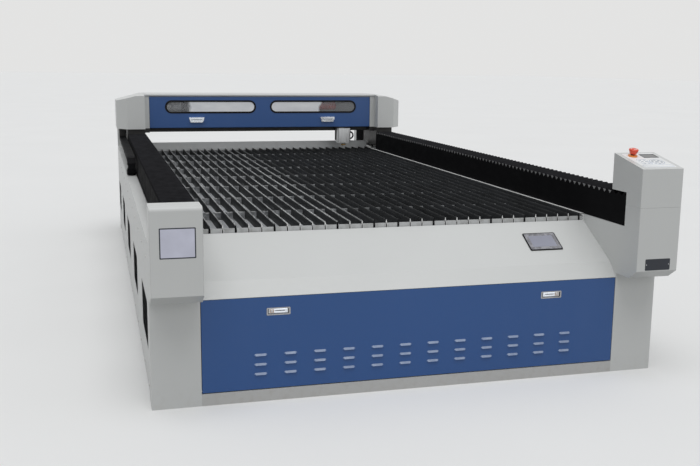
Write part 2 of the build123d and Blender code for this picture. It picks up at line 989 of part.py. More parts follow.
def chain_run(start, end, floor):
    """A straight stretch of chain: wide link plates over a narrower pinned core."""
    count = max(1, round((end - start) / chain_link))
    pitch = (end - start) / count
    with Locations((chain_x, (start + end) / 2, floor + chain_height / 2)):
        Box(chain_width - 2 * chain_pin_recess, end - start, chain_height - 2 * chain_pin_recess)
        with GridLocations(1, pitch, 1, count):
            Box(chain_width, pitch - chain_link_gap, chain_height)


with BuildPart() as drag_chain_upper:
    chain_run(bend_y + clearance, bracket_y - clearance, chain_floor + chain_rise)
save(drag_chain_upper, "drag_chain_upper")

with BuildPart() as drag_chain_lower:
    chain_run(bend_y + clearance, bend_y + chain_fixed_length, chain_floor)
save(drag_chain_lower, "drag_chain_lower")


def half_ring(outer_radius, inner_radius, width):
    """The forward half of a ring around the axis of the chain bend."""
    with BuildSketch(Plane.YZ.offset(chain_x - width / 2)) as ring:
        with Locations((bend_y, bend_z)):
            Circle(outer_radius)
            Circle(inner_radius, mode=Mode.SUBTRACT)
            Rectangle(
                2 * outer_radius,
                2 * outer_radius,
                align=(Align.MIN, Align.CENTER),
                mode=Mode.SUBTRACT,
            )
    extrude(ring.sketch, amount=width)


outer_bend = chain_bend_radius + chain_height / 2
inner_bend = chain_bend_radius - chain_height / 2
groove_step = 180 / bend_links

with BuildPart() as drag_chain_bend:
    half_ring(outer_bend, inner_bend, chain_width)
    with Locations(Plane.YZ.offset(chain_x) * Location((bend_y, bend_z))):
        with PolarLocations(
            chain_bend_radius,
            bend_links - 1,
            start_angle=90 + groove_step,
            angular_range=180 - 2 * groove_step,
            endpoint=True,
        ):
            Box(chain_height + 2, chain_link_gap, chain_width + 2, mode=Mode.SUBTRACT)
    half_ring(
        outer_bend - chain_pin_recess,
        inner_bend + chain_pin_recess,
        chain_width - 2 * chain_pin_recess,
    )
save(drag_chain_bend, "drag_chain_bend")

# Rear end: boxes that close the rails, and a recessed panel with two exhaust spigots
with BuildPart() as rear_boxes:
    for side in (-1, 1):
        block(
            sides(bed_half, corner_width, side),
            (rear - rear_box_depth, rear),
            (beam_top + weld_gap, left_box_top),
        )
    fillet(rear_boxes.edges().filter_by(Axis.X).group_by(Axis.Z)[-1].group_by(Axis.Y)[-1], roll_radius)
save(rear_boxes, "rear_boxes")

rear_panel_y = rear - rear_recess
deck_front = bed_wall_back + wall_thickness
with BuildPart() as rear_panel:
    with BuildSketch(Plane.YZ.offset(-bed_half)):
        with BuildLine():
            Polyline(
                (deck_front, beam_top),
                (rear_panel_y, beam_top),
                (rear_panel_y, tube / 2),
            )
            offset(amount=sheet, side=Side.RIGHT)
        make_face()
    extrude(amount=2 * bed_half)
    with BuildSketch(Plane.XZ.offset(-rear_panel_y)) as ports:
        with Locations((0, spigot_centre)):
            with GridLocations(2 * spigot_offset, 0, 2, 1):
                Circle(spigot_radius - spigot_wall)
    extrude(ports.sketch, amount=2 * sheet, both=True, mode=Mode.SUBTRACT)
save(rear_panel, "rear_panel")


def exhaust_spigot(side):
    """Round duct collar with a flange against the rear panel."""
    with BuildSketch(Plane.XZ.offset(-rear_panel_y)) as ring:
        with Locations((side * spigot_offset, spigot_centre)):
            Circle(spigot_radius + spigot_flange)
            Circle(spigot_radius - spigot_wall, mode=Mode.SUBTRACT)
    extrude(ring.sketch, amount=-sheet)
    with BuildSketch(Plane.XZ.offset(-rear_panel_y - sheet)) as collar:
        with Locations((side * spigot_offset, spigot_centre)):
            Circle(spigot_radius)
            Circle(spigot_radius - spigot_wall, mode=Mode.SUBTRACT)
    extrude(collar.sketch, amount=-spigot_length)


with BuildPart() as exhaust_spigots:
    exhaust_spigot(-1)
    exhaust_spigot(1)
save(exhaust_spigots, "exhaust_spigots")

# Gantry: cross beam between two end frames, whose pins carry the lid
cap_outer = frame_outer + cap_width
beam_top_edge = gantry_underside + cross_beam_height
tube_y = cross_beam_front + cross_beam_depth / 2

with BuildPart() as gantry_beam:
    with BuildSketch(Plane.YZ.offset(-beam_half)):
        with Locations((tube_y, gantry_underside + cross_beam_height / 2)):
            RectangleRounded(cross_beam_depth, cross_beam_height, cross_beam_wall)
            RectangleRounded(
                cross_beam_depth - 2 * cross_beam_wall,
                cross_beam_height - 2 * cross_beam_wall,
                cross_beam_wall / 2,
                mode=Mode.SUBTRACT,
            )
    extrude(amount=2 * beam_half)
save(gantry_beam, "gantry_beam")

with BuildPart() as gantry_end_frames:
    for side in (-1, 1):
        block(
            sides(beam_half, end_frame_width, side),
            (lid_front, cap_back - sheet),
            (cap_floor, cover_underside),
        )
        with BuildSketch(Plane.YZ.offset(side * beam_half)) as pin:
            with Locations((lid_front + lid_hinge_inset, lid_top - lid_hinge_inset)):
                Circle(lid_pin_radius)
        extrude(pin.sketch, amount=-side * lid_pin_reach)
save(gantry_end_frames, "gantry_end_frames")


def end_cap(side):
    """Sheet housing over one end: slanted front corner in plan, top falling forwards and outwards."""
    with BuildSketch(Plane.XY.offset(cap_floor)) as plan:
        with BuildLine():
            Polyline(
                (side * frame_outer, cap_front),
                (side * (frame_outer + cap_front_width), cap_front),
                (side * cap_outer, lid_front),
                (side * cap_outer, cap_back),
                (side * frame_outer, cap_back),
                close=True,
            )
        make_face()
    extrude(plan.sketch, amount=cap_height)


def trim_cap(side):
    """Cut the two sloping faces on top of a cap."""
    with BuildSketch(Plane.YZ.offset(side * (frame_outer - 1))) as wedge:
        with BuildLine():
            Polyline(
                (cap_front, cap_top + 1),
                (cap_front, cap_top - cap_front_drop),
                (cap_front + cap_front_slope, cap_top),
                (cap_front + cap_front_slope, cap_top + 1),
                close=True,
            )
        make_face()
    extrude(wedge.sketch, amount=side * (cap_width + 2), mode=Mode.SUBTRACT)
    with BuildSketch(Plane.XZ.offset(-cap_front + 1)) as wedge:
        with BuildLine():
            Polyline(
                (side * (frame_outer + cap_side_flat), cap_top + 1),
                (side * (frame_outer + cap_side_flat), cap_top),
                (side * cap_outer, cap_top - cap_side_drop),
                (side * cap_outer, cap_top + 1),
                close=True,
            )
        make_face()
    extrude(wedge.sketch, amount=cap_front - cap_back - 2, mode=Mode.SUBTRACT)


with BuildPart() as end_cap_left:
    end_cap(-1)
    trim_cap(-1)
save(end_cap_left, "end_cap_left")

with BuildPart() as end_cap_right:
    end_cap(1)
    trim_cap(1)
save(end_cap_right, "end_cap_right")

# Top and back cover: one folded sheet whose front edge overhangs the lid
with BuildPart() as gantry_cover:
    with BuildSketch(Plane.YZ.offset(-frame_outer)):
        with BuildLine():
            Polyline(
                (lid_front - sheet, cover_underside),
                (lid_front - sheet, cover_top),
                (cap_back, cover_top),
                (cap_back, gantry_underside),
            )
            offset(amount=sheet, side=Side.RIGHT)
        make_face()
    extrude(amount=2 * frame_outer)
save(gantry_cover, "gantry_cover")


def carriage(side):
    """Closed drive housing with two bearing blocks that straddle the guide rail."""
    bearing_top = beam_top + rail_height + bearing_cover
    block(
        sides(bed_half + carriage_inset, bellows_width - 2 * carriage_inset, side),
        (carriage_front, carriage_back),
        (bearing_top, cap_floor),
    )
    # Foot under the end frame, level with the underside of the beam
    block(
        sides(beam_half, end_frame_width, side),
        (lid_front, carriage_back),
        (gantry_underside, cap_floor),
    )
    for start in (carriage_front + bearing_inset, carriage_back - bearing_inset - bearing_length):
        block(
            sides(rail_centre - bearing_width / 2, bearing_width, side),
            (start, start + bearing_length),
            (beam_top + bearing_lift, bearing_top),
        )
    block(
        sides(rail_centre - rail_width / 2 - clearance, rail_width + 2 * clearance, side),
        (carriage_front, carriage_back),
        (beam_top, beam_top + rail_height + clearance),
        mode=Mode.SUBTRACT,
    )


with BuildPart() as carriage_left:
    carriage(-1)
save(carriage_left, "carriage_left")

with BuildPart() as carriage_right:
    carriage(1)
save(carriage_right, "carriage_right")

# Angle bracket under the left cap that tows the upper chain run
with BuildPart() as chain_bracket:
    with BuildSketch(Plane.YZ.offset(chain_x - chain_width / 2)):
        with BuildLine():
            Polyline(
                (bracket_y, chain_floor + chain_rise),
                (bracket_y, cap_floor),
                (bracket_y + bracket_foot, cap_floor),
            )
            offset(amount=bracket_thickness, side=Side.RIGHT)
        make_face()
    extrude(amount=chain_width)
save(chain_bracket, "chain_bracket")

# Laser tube: glass jacket that narrows at both ends, in saddles on the beam
tube_start = tube_inset - beam_half
tube_end = tube_start + tube_length
tube_plane = Plane(origin=(0, tube_y, tube_centre), x_dir=(1, 0, 0), z_dir=(0, -1, 0))
with BuildPart() as laser_tube:
    with BuildSketch(tube_plane):
        with BuildLine():
            Polyline(
                (tube_start, 0),
                (tube_start, electrode_radius),
                (tube_start + electrode_length, electrode_radius),
                (tube_start + electrode_length + tube_shoulder, tube_radius),
                (tube_end - electrode_length - tube_shoulder, tube_radius),
                (tube_end - electrode_length, electrode_radius),
                (tube_end, electrode_radius),
                (tube_end, 0),
                close=True,
            )
        make_face()
    revolve(axis=Axis((0, tube_y, tube_centre), (1, 0, 0)))
save(laser_tube, "laser_tube")

# Insulating boot over the high voltage end
with BuildPart() as tube_boot:
    with BuildSketch(Plane.YZ.offset(tube_end)):
        with Locations((tube_y, tube_centre)):
            Circle(boot_radius)
    extrude(amount=boot_length)
    fillet(tube_boot.edges().filter_by(GeomType.CIRCLE).sort_by(Axis.X)[-1], boot_round)
    with BuildSketch(Plane.YZ.offset(tube_end)):
        with Locations((tube_y, tube_centre)):
            Circle(boot_radius)
            Circle(electrode_radius + clearance, mode=Mode.SUBTRACT)
    extrude(amount=-boot_overlap)
save(tube_boot, "tube_boot")

with BuildPart() as tube_clamps:
    with BuildSketch(Plane.YZ.offset(tube_start + tube_length / 2 - clamp_width / 2)) as saddle:
        with Locations((tube_y, beam_top_edge)):
            Rectangle(
                2 * (tube_radius - saddle_inset),
                tube_centre - beam_top_edge,
                align=(Align.CENTER, Align.MIN),
            )
        with Locations((tube_y, tube_centre)):
            Circle(tube_radius + clamp_wall)
            Circle(tube_radius + clearance, mode=Mode.SUBTRACT)
    with GridLocations(clamp_pitch, 1, clamp_count, 1):
        add(extrude(saddle.sketch, amount=clamp_width, mode=Mode.PRIVATE))
save(tube_clamps, "tube_clamps")

# Beam path: one mirror stand past the output end of the tube
stand_x = tube_start - mirror_gap
with BuildPart() as mirror_mount:
    block(
        (stand_x - mirror_plate / 2, stand_x + mirror_plate / 2),
        (tube_y - mirror_radius - mirror_plate, tube_y + mirror_radius + mirror_plate),
        (beam_top_edge, tube_centre + mirror_radius + mirror_plate),
    )
    with BuildSketch(Plane.YZ.offset(stand_x)) as holder:
        with Locations((tube_y, tube_centre)):
            Circle(mirror_radius)
    extrude(holder.sketch, amount=mirror_plate / 2 + mirror_length)
save(mirror_mount, "mirror_mount")

head_rail_z = beam_top_edge - head_rail_drop
with BuildPart() as head_rail:
    block(
        (head_rail_end_gap - beam_half, beam_half - head_rail_end_gap),
        (cross_beam_front - head_rail_depth, cross_beam_front),
        (head_rail_z - head_rail_width / 2, head_rail_z + head_rail_width / 2),
    )
save(head_rail, "head_rail")

# Gantry lid: a shallow pan with two long windows, hinged along its upper edge
with BuildPart() as gantry_lid:
    block((-lid_half, lid_half), (lid_front, lid_front + lid_flange), (lid_bottom, lid_top))
    fillet(gantry_lid.edges().group_by(Axis.Y)[0].filter_by(Axis.X), lid_fold_radius)
    block(
        (sheet - lid_half, lid_half - sheet),
        (lid_front + sheet, lid_front + lid_flange),
        (lid_bottom + sheet, lid_top - sheet),
        mode=Mode.SUBTRACT,
    )
    with BuildSketch(Plane.XZ.offset(-lid_front)) as windows:
        with Locations((0, window_centre)):
            with GridLocations(2 * window_offset, 0, 2, 1):
                SlotOverall(window_width, window_height)
    extrude(windows.sketch, amount=2 * sheet, both=True, mode=Mode.SUBTRACT)
    with BuildSketch(Plane.YZ.offset(-lid_half)) as holes:
        with Locations((lid_front + lid_hinge_inset, lid_top - lid_hinge_inset)):
            Circle(lid_pin_radius + clearance)
    extrude(holes.sketch, amount=2 * lid_half, mode=Mode.SUBTRACT)
save(gantry_lid, "gantry_lid")

with BuildPart() as window_seals:
    with BuildSketch(Plane.XZ.offset(-lid_front)) as lip:
        with Locations((0, window_centre)):
            with GridLocations(2 * window_offset, 0, 2, 1):
                SlotOverall(window_width + 2 * seal_outside, window_height + 2 * seal_outside)
                SlotOverall(
                    window_width - 2 * seal_inside,
                    window_height - 2 * seal_inside,
                    mode=Mode.SUBTRACT,
                )
    extrude(lip.sketch, amount=seal_height)
save(window_seals, "window_seals")

with BuildPart() as window_panes:
    with BuildSketch(Plane.XZ.offset(-lid_front)) as pane:
        with Locations((0, window_centre)):
            with GridLocations(2 * window_offset, 0, 2, 1):
                SlotOverall(window_width - 2 * clearance, window_height - 2 * clearance)
    extrude(pane.sketch, amount=-pane_thickness)
save(window_panes, "window_panes")

# Cup handles: a shell that narrows downwards, open below for the fingers
with BuildPart() as lid_handles:
    with BuildSketch(Plane.XZ.offset(-lid_front)) as cups:
        with Locations((0, handle_centre)):
            with GridLocations(2 * handle_offset, 0, 2, 1):
                Trapezoid(handle_width, handle_height, handle_slant, rotation=180)
        fillet(cups.vertices(), handle_corner)
    extrude(cups.sketch, amount=handle_depth, taper=handle_taper)
    with BuildSketch(Plane.XZ.offset(-lid_front)) as hollows:
        with Locations((0, handle_centre - handle_height / 4)):
            with GridLocations(2 * handle_offset, 0, 2, 1):
                Rectangle(handle_mouth, handle_height)
    extrude(hollows.sketch, amount=handle_depth - handle_wall, mode=Mode.SUBTRACT)
save(lid_handles, "lid_handles")

# Head: carriage on the cross rail, block below the lid, focusing tube with nozzle
head_plate_y = cross_beam_front - head_rail_depth - 2 * head_plate_thickness
with BuildPart() as head_carriage:
    block(
        (head_offset - head_plate_width / 2, head_offset + head_plate_width / 2),
        (head_plate_y - head_plate_thickness, head_plate_y),
        (head_block_floor + head_plate_foot, head_rail_z + head_plate_rise),
    )
    block(
        (
            head_offset - head_plate_width / 2 + slide_inset,
            head_offset + head_plate_width / 2 - slide_inset,
        ),
        (head_plate_y, cross_beam_front - slide_gap),
        (head_rail_z - slide_reach, head_rail_z + slide_reach),
    )
    block(
        (head_offset - head_plate_width, head_offset + head_plate_width),
        (cross_beam_front - head_rail_depth - clearance, cross_beam_front),
        (head_rail_z - head_rail_width / 2 - clearance, head_rail_z + head_rail_width / 2 + clearance),
        mode=Mode.SUBTRACT,
    )
save(head_carriage, "head_carriage")

block_back = head_plate_y - head_plate_thickness
block_front = block_back - head_block_depth
lens_y = (block_front + block_back) / 2
with BuildPart() as laser_head:
    block(
        (head_offset - head_block_width / 2, head_offset + head_block_width / 2),
        (block_front, block_back),
        (head_block_floor, head_block_floor + head_block_height),
    )
    chamfer(laser_head.edges().filter_by(Axis.Z).group_by(Axis.Y)[0], head_bevel)
    with Locations((head_offset, lens_y, head_block_floor - 1)):
        Cylinder(
            lens_tube_radius + clearance,
            head_block_height + 2,
            align=(Align.CENTER, Align.CENTER, Align.MIN),
            mode=Mode.SUBTRACT,
        )
save(laser_head, "laser_head")

nozzle_plane = Plane(origin=(head_offset, lens_y, nozzle_tip), x_dir=(1, 0, 0), z_dir=(0, -1, 0))
with BuildPart() as nozzle_unit:
    with BuildSketch(nozzle_plane):
        with BuildLine():
            Polyline(
                (0, 0),
                (nozzle_mouth, 0),
                (lens_tube_radius - nozzle_mouth, nozzle_length - nozzle_shoulder),
                (lens_tube_radius, nozzle_length),
                (lens_tube_radius, nozzle_length + lens_tube_length),
                (0, nozzle_length + lens_tube_length),
                close=True,
            )
        make_face()
    revolve(axis=Axis((head_offset, lens_y, nozzle_tip), (0, 0, 1)))
    with Locations((head_offset, lens_y, nozzle_tip - 1)):
        Cylinder(
            nozzle_bore,
            nozzle_shoulder,
            align=(Align.CENTER, Align.CENTER, Align.MIN),
            mode=Mode.SUBTRACT,
        )
save(nozzle_unit, "nozzle_unit")

# Air hose: a half loop beside the head block
hose_x = head_offset + head_block_width / 2
with BuildPart() as air_hose:
    with BuildSketch(Plane.YZ.offset(hose_x)):
        with Locations((lens_y, head_block_floor + head_block_height / 2 + hose_bend)):
            Circle(hose_radius)
    revolve(
        axis=Axis((hose_x, lens_y, head_block_floor + head_block_height / 2), (0, 1, 0)),
        revolution_arc=180,
    )
save(air_hose, "air_hose")
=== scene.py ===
import json
import math

import bmesh
import bpy
from mathutils import Matrix, Vector


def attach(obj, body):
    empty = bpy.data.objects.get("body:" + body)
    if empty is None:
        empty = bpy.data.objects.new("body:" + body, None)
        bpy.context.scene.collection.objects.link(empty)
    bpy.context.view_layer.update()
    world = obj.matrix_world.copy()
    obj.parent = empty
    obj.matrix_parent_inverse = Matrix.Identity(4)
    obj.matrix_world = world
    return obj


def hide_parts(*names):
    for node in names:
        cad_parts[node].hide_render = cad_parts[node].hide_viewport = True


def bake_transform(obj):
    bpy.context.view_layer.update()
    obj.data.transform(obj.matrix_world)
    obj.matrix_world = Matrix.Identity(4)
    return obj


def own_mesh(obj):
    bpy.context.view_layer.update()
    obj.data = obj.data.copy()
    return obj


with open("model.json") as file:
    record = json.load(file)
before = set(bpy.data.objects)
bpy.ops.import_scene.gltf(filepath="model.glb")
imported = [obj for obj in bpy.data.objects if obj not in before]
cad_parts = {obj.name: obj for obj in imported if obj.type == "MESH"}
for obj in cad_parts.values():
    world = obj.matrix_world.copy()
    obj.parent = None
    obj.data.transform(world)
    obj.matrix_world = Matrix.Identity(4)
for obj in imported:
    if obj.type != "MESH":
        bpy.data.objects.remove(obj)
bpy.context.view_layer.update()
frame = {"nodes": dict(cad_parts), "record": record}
scene = bpy.context.scene
nodes = frame["nodes"]

# Flatbed laser cutter, in metres: X is the width, Y runs from the operator's end to the rear
BED_HALF, OUTER = 0.885, 1.075
FRONT = -2.175
LEG_FRONT = -2.023
REAR_PANEL, FLANGE = 2.097, 0.002

# Bellows over the rails, from the front box to the carriages and on to the rear boxes
BELLOWS_FRONT, REAR_BOX = LEG_FRONT - 0.042, 2.107
CARRIAGE_FRONT, CARRIAGE_BACK = LEG_FRONT + 3.560, LEG_FRONT + 3.930
BELLOWS_OUTER, BELLOWS_FLOOR, BELLOWS_CREST = 1.018, 0.653, 0.790
FRONT_PLEATS, REAR_PLEATS = 82, 60

# Gantry, parked at the rear
LID_FRONT, COVER_BACK = LEG_FRONT + 3.630, LEG_FRONT + 3.960

# Knife blades and the combs that carry them
BLADE_COUNT, BLADE_PITCH = 33, 0.054
BLADE_FRONT = LEG_FRONT + 0.303
BLADE_FOOT, BLADE_TOP = 0.613, 0.655
COMB_TOP = 0.6385


# Shader trees
class Value:
    """A shader socket that can be used in plain arithmetic."""

    def __init__(self, shader, socket):
        self.shader = shader
        self.socket = socket

    def math(self, operation, *terms):
        return self.shader.node("Math", {"operation": operation}, dict(enumerate(terms)))

    def __add__(self, other):
        return self.math("ADD", self, other)

    def __mul__(self, other):
        return self.math("MULTIPLY", self, other)

    def larger(self, other):
        return self.math("MAXIMUM", self, other)

    def absolute(self):
        return self.math("ABSOLUTE", self)

    def wave(self):
        return self.math("SINE", self)

    def ramp(self, low, high, to_low=0.0, to_high=1.0):
        """Map a range onto another, held at both ends."""
        return self.shader.node(
            "MapRange", {"clamp": True}, {0: self, 1: low, 2: high, 3: to_low, 4: to_high}
        )


class Shader:
    """The node tree of one material or of the world."""

    def __init__(self, owner, **constants):
        owner.use_nodes = True
        self.owner = owner
        self.tree = owner.node_tree
        self.surface = self.tree.nodes.get("Principled BSDF")
        self.set(**constants)

    def put(self, socket, value):
        """Link a value to a socket, or write a constant in it."""
        if isinstance(value, Value):
            self.tree.links.new(value.socket, socket)
        elif hasattr(socket.default_value, "__len__"):
            parts = tuple(value)
            room = len(socket.default_value)
            socket.default_value = parts + (1.0,) * (room - len(parts))
        else:
            socket.default_value = value

    def set(self, **inputs):
        """Set the surface's sockets, with spaces written as underscores."""
        for name, value in inputs.items():
            self.put(self.surface.inputs[name.replace("_", " ")], value)
        return self.owner

    def node(self, kind, settings=None, inputs=None, out=0):
        """Add any node: its settings first, then the values or links of its sockets."""
        node = self.tree.nodes.new("ShaderNode" + kind)
        for name, value in (settings or {}).items():
            setattr(node, name, value)
        for name, value in (inputs or {}).items():
            self.put(node.inputs[name], value)
        return Value(self, node.outputs[out])

    def split(self, vector):
        first = self.node("SeparateXYZ", inputs={0: vector})
        return [Value(self, output) for output in first.socket.node.outputs]

    def axes(self):
        """Object coordinates, which are the machine's own metres."""
        return self.split(self.node("TexCoord", out="Object"))

    def noise(self, scale, detail=2.0, stretch=(1, 1, 1), roughness=0.5):
        where = self.node(
            "Mapping", inputs={"Vector": self.node("TexCoord", out="Object"), "Scale": stretch}
        )
        return self.node(
            "TexNoise",
            inputs={"Vector": where, "Scale": scale, "Detail": detail, "Roughness": roughness},
        )

    def mix(self, share, first, second):
        """Mix two colours by a share from 0 to 1."""
        return self.node("Mix", {"data_type": "RGBA"}, {0: share, 6: first, 7: second}, out=2)

    def bump(self, height, strength, distance):
        return self.node(
            "Bump", inputs={"Strength": strength, "Distance": distance, "Height": height}
        )


def surface(name, **constants):
    return Shader(bpy.data.materials.new(name), **constants)


def scaled(colour, factor):
    return tuple(channel * factor for channel in colour)


def powder_coat(name, colour, roughness=0.42, dust=0.06, top_highlight=0.0):
    """Sprayed and baked paint: orange peel, faint clouds, dust low down, and a painted highlight on
    what faces up.
    """
    s = surface(name, Coat_Weight=0.08, Coat_Roughness=0.25)
    height = s.axes()[2]
    cloud = s.noise(1.6, 3.0)
    streak = s.noise(9.0, 4.0, (1.0, 1.0, 0.12))
    grime_and_highlight_noise = s.noise(38.0, 6.0)
    tint = s.mix(cloud.ramp(0.3, 0.7), scaled(colour, 0.97), scaled(colour, 1.02))
    tint = s.mix(streak.ramp(0.52, 0.8, 0.0, dust * 0.5), tint, (0.42, 0.39, 0.34))
    low = height.ramp(0.0, 0.12, 1.0, 0.0)
    tint = s.mix(low * grime_and_highlight_noise.ramp(0.5, 0.8) * (dust * 2.5), tint, (0.33, 0.29, 0.24))
    # painted highlight: faces that look up are mixed towards a pale blue, as if lit from above
    if top_highlight:
        up = s.split(s.node("TexCoord", out="Normal"))[2].ramp(0.15, 0.55)
        tint = s.mix(up * grime_and_highlight_noise.ramp(0.3, 0.7, top_highlight * 0.6, top_highlight), tint, (0.50, 0.56, 0.66))
    rough = grime_and_highlight_noise.ramp(0.3, 0.75, roughness - 0.05, roughness + 0.08)
    peel = s.noise(420.0, 2.0) * 0.7 + s.noise(1300.0, 1.0) * 0.3
    return s.set(Base_Color=tint, Roughness=rough, Normal=s.bump(peel, 0.3, 0.0003))


def mill_steel(name, colour, roughness, grain, metallic=1.0, spots=0.0):
    """Rolled or ground metal with a grain along one direction and a few dull spots."""
    s = surface(name, Metallic=metallic)
    lines = s.noise(60.0, 5.0, grain, 0.65)
    blotch = s.noise(14.0, 4.0)
    tint = s.mix(lines.ramp(0.3, 0.7), scaled(colour, 0.8), scaled(colour, 1.12))
    tint = s.mix(blotch.ramp(0.5, 0.75, 0.0, spots), tint, (0.10, 0.085, 0.07))
    rough = lines.ramp(0.3, 0.7, roughness - 0.08, roughness + 0.12)
    return s.set(Base_Color=tint, Roughness=rough, Normal=s.bump(lines, 0.25, 0.0003))


def blade_finish():
    """Sooty bar with a bright ridge, partly scoured metal and spatter and partly a painted
    highlight, which is bright on the left and fades to the right and to the rear as painted light.
    """
    s = surface("knife_blade_steel", Specular_IOR_Level=0.2)
    x, y, z = s.axes()
    # painted highlight: the top few millimetres of each blade take the bright ridge colour
    ridge = z.ramp(BLADE_TOP - 0.0056, BLADE_TOP - 0.0042)
    wear = s.noise(9.0, 5.0, (6.0, 0.35, 1.0), 0.7)
    shaded_right_level = 0.03
    # painted light: bright ridges on the left, fading to the right and towards the rear
    painted_light_share = (x + wear * 0.10).ramp(-0.17, -0.05, 1.0, shaded_right_level) * y.ramp(-1.0, 1.7, 1.0, 0.6)
    spatter = s.noise(110.0, 3.0, (1.0, 0.6, 1.0), 0.6)
    body = s.mix(wear.ramp(0.35, 0.7), (0.008, 0.009, 0.010), (0.020, 0.022, 0.025))
    edge = s.mix(spatter.ramp(0.34, 0.54), (0.22, 0.23, 0.24), (0.92, 0.93, 0.92))
    lit = (ridge * painted_light_share * wear.ramp(0.30, 0.62, 0.2, 1.2)).ramp(0.0, 1.0)
    rough = wear.ramp(0.3, 0.7, 0.38, 0.6)
    return s.set(
        Base_Color=s.mix(lit, body, edge), Roughness=rough, Normal=s.bump(spatter, 0.5, 0.0006)
    )


def tray_finish():
    """Galvanised sheet below the blades: pale spangle, scorch streaks and loose char."""
    s = surface("scrap_tray_zinc", Metallic=0.25)
    spangle = s.noise(42.0, 2.0, roughness=0.3)
    scorch = s.noise(7.0, 5.0, (1.0, 0.5, 1.0), 0.6)
    char = s.noise(120.0, 4.0, roughness=0.7)
    tint = s.mix(spangle.ramp(0.35, 0.65), (0.62, 0.64, 0.66), (0.82, 0.84, 0.86))
    tint = s.mix(scorch.ramp(0.48, 0.75, 0.0, 0.6), tint, (0.16, 0.15, 0.14))
    tint = s.mix(char.ramp(0.58, 0.72, 0.0, 0.85), tint, (0.05, 0.045, 0.04))
    return s.set(
        Base_Color=tint,
        Roughness=scorch.ramp(0.3, 0.7, 0.42, 0.65),
        Normal=s.bump(char + spangle, 0.4, 0.0006),
    )


def comb_finish():
    """Slotted strip: clean at the operator's end, sooty between the blades; its top is paler on the
    left, partly scuffs and partly a painted highlight that fades to the right.
    """
    s = surface("blade_comb_steel", Specular_IOR_Level=0.3)
    x, y, z = s.axes()
    inside = y.ramp(BLADE_FRONT + 0.004, BLADE_FRONT + 0.010)
    soot = s.noise(30.0, 4.0)
    scuff = s.noise(70.0, 3.0)
    clean = s.mix(soot.ramp(0.45, 0.75), (0.52, 0.53, 0.53), (0.34, 0.34, 0.33))
    dark = s.mix(scuff.ramp(0.35, 0.65), (0.16, 0.165, 0.17), (0.34, 0.35, 0.36))
    dark = s.mix(soot.ramp(0.46, 0.72), dark, (0.075, 0.077, 0.080))
    # painted highlight on the comb tops, bright on the left and fading to the right, mixed with
    # scuffs
    lit_left_side = x.ramp(-0.6, 0.1, 1.0, 0.05)
    crown = z.ramp(COMB_TOP - 0.002, COMB_TOP) * lit_left_side * scuff.ramp(0.50, 0.62)
    dark = s.mix(crown, dark, (0.62, 0.62, 0.61))
    return s.set(
        Base_Color=s.mix(inside, clean, dark),
        Roughness=soot.ramp(0.3, 0.7, 0.4, 0.6),
        Normal=s.bump(soot, 0.2, 0.0004),
    )


def coated_cloth(name, colour, roughness=0.75):
    """Black coated fabric with a fine weave, a little dust on what faces up, and paler crests,
    partly wear and partly a painted highlight that makes the folds show.
    """
    s = surface(name, Specular_IOR_Level=0.02)
    x, y, z = s.axes()
    threads = 5200.0
    weave = (x * threads).wave() + (y * threads).wave() + (z * threads).wave()
    dust = s.noise(30.0, 5.0, (1.0, 0.4, 1.0))
    up = s.split(s.node("TexCoord", out="Normal"))[2].absolute()
    tint = s.mix(up * dust.ramp(0.4, 0.8, 0.05, 0.7), scaled(colour, 0.7), scaled(colour, 1.5))
    # painted highlight: the pleat crests are painted paler so the folds show, besides wear
    crest = z.ramp(BELLOWS_CREST - 0.0055, BELLOWS_CREST - 0.0005)
    worn_and_lit_crest = crest * dust.ramp(0.25, 0.7, 0.4, 1.0)
    tint = s.mix(worn_and_lit_crest, tint, scaled(colour, 2.6))
    rough = dust.ramp(0.3, 0.7, roughness - 0.1, roughness + 0.1)
    texture = weave * 0.25 + dust
    return s.set(Base_Color=tint, Roughness=rough, Normal=s.bump(texture, 0.25, 0.0003))


def moulded(name, colour, roughness=0.45, grain=520.0, strength=0.2, **constants):
    """Moulded plastic or rubber with a fine spark-eroded grain."""
    s = surface(name, **constants)
    fine = s.noise(grain, 2.0)
    broad = s.noise(12.0, 3.0)
    tint = s.mix(broad.ramp(0.3, 0.7), scaled(colour, 0.92), scaled(colour, 1.08))
    rough = broad.ramp(0.3, 0.7, roughness - 0.05, roughness + 0.06)
    return s.set(Base_Color=tint, Roughness=rough, Normal=s.bump(fine, strength, 0.0002))


def window_sheet(name):
    """Clear acrylic with a milky white layer over its middle, clear at both outer ends: painted
    light standing for the bright look of the windows.
    """
    s = surface(name, Coat_Weight=0.6, Coat_Roughness=0.04)
    smear = s.noise(5.0, 4.0, (1.0, 1.0, 2.5))
    along = s.axes()[0] + s.noise(9.0, 3.0) * 0.12
    # painted light: a white, nearly opaque layer over the middle of each window stands for its
    # brightness
    film_start, film_end, fray = -0.502, 0.510, 0.010
    film = along.ramp(film_start - fray, film_start + fray) * along.ramp(
        film_end - fray, film_end + fray, 1.0, 0.0
    )
    tint = s.mix(smear.ramp(0.3, 0.8), (0.93, 0.94, 0.95), (0.84, 0.86, 0.90))
    return s.set(
        Base_Color=tint,
        Roughness=smear.ramp(0.4, 0.8, 0.08, 0.25),
        Alpha=film * smear.ramp(0.3, 0.7, 0.86, 0.66) + smear.ramp(0.3, 0.7, 0.06, 0.14),
    )


def tube_wall(name, colour, alpha):
    """Blown glass, thin and slightly cloudy in patches."""
    s = surface(name, Roughness=0.05, Coat_Weight=1.0, Coat_Roughness=0.03)
    cloud = s.noise(6.0, 3.0, (0.4, 1.0, 1.0))
    return s.set(
        Base_Color=s.mix(cloud.ramp(0.3, 0.7), colour, scaled(colour, 0.9)),
        Alpha=cloud.ramp(0.3, 0.7, alpha - 0.06, alpha + 0.08),
    )


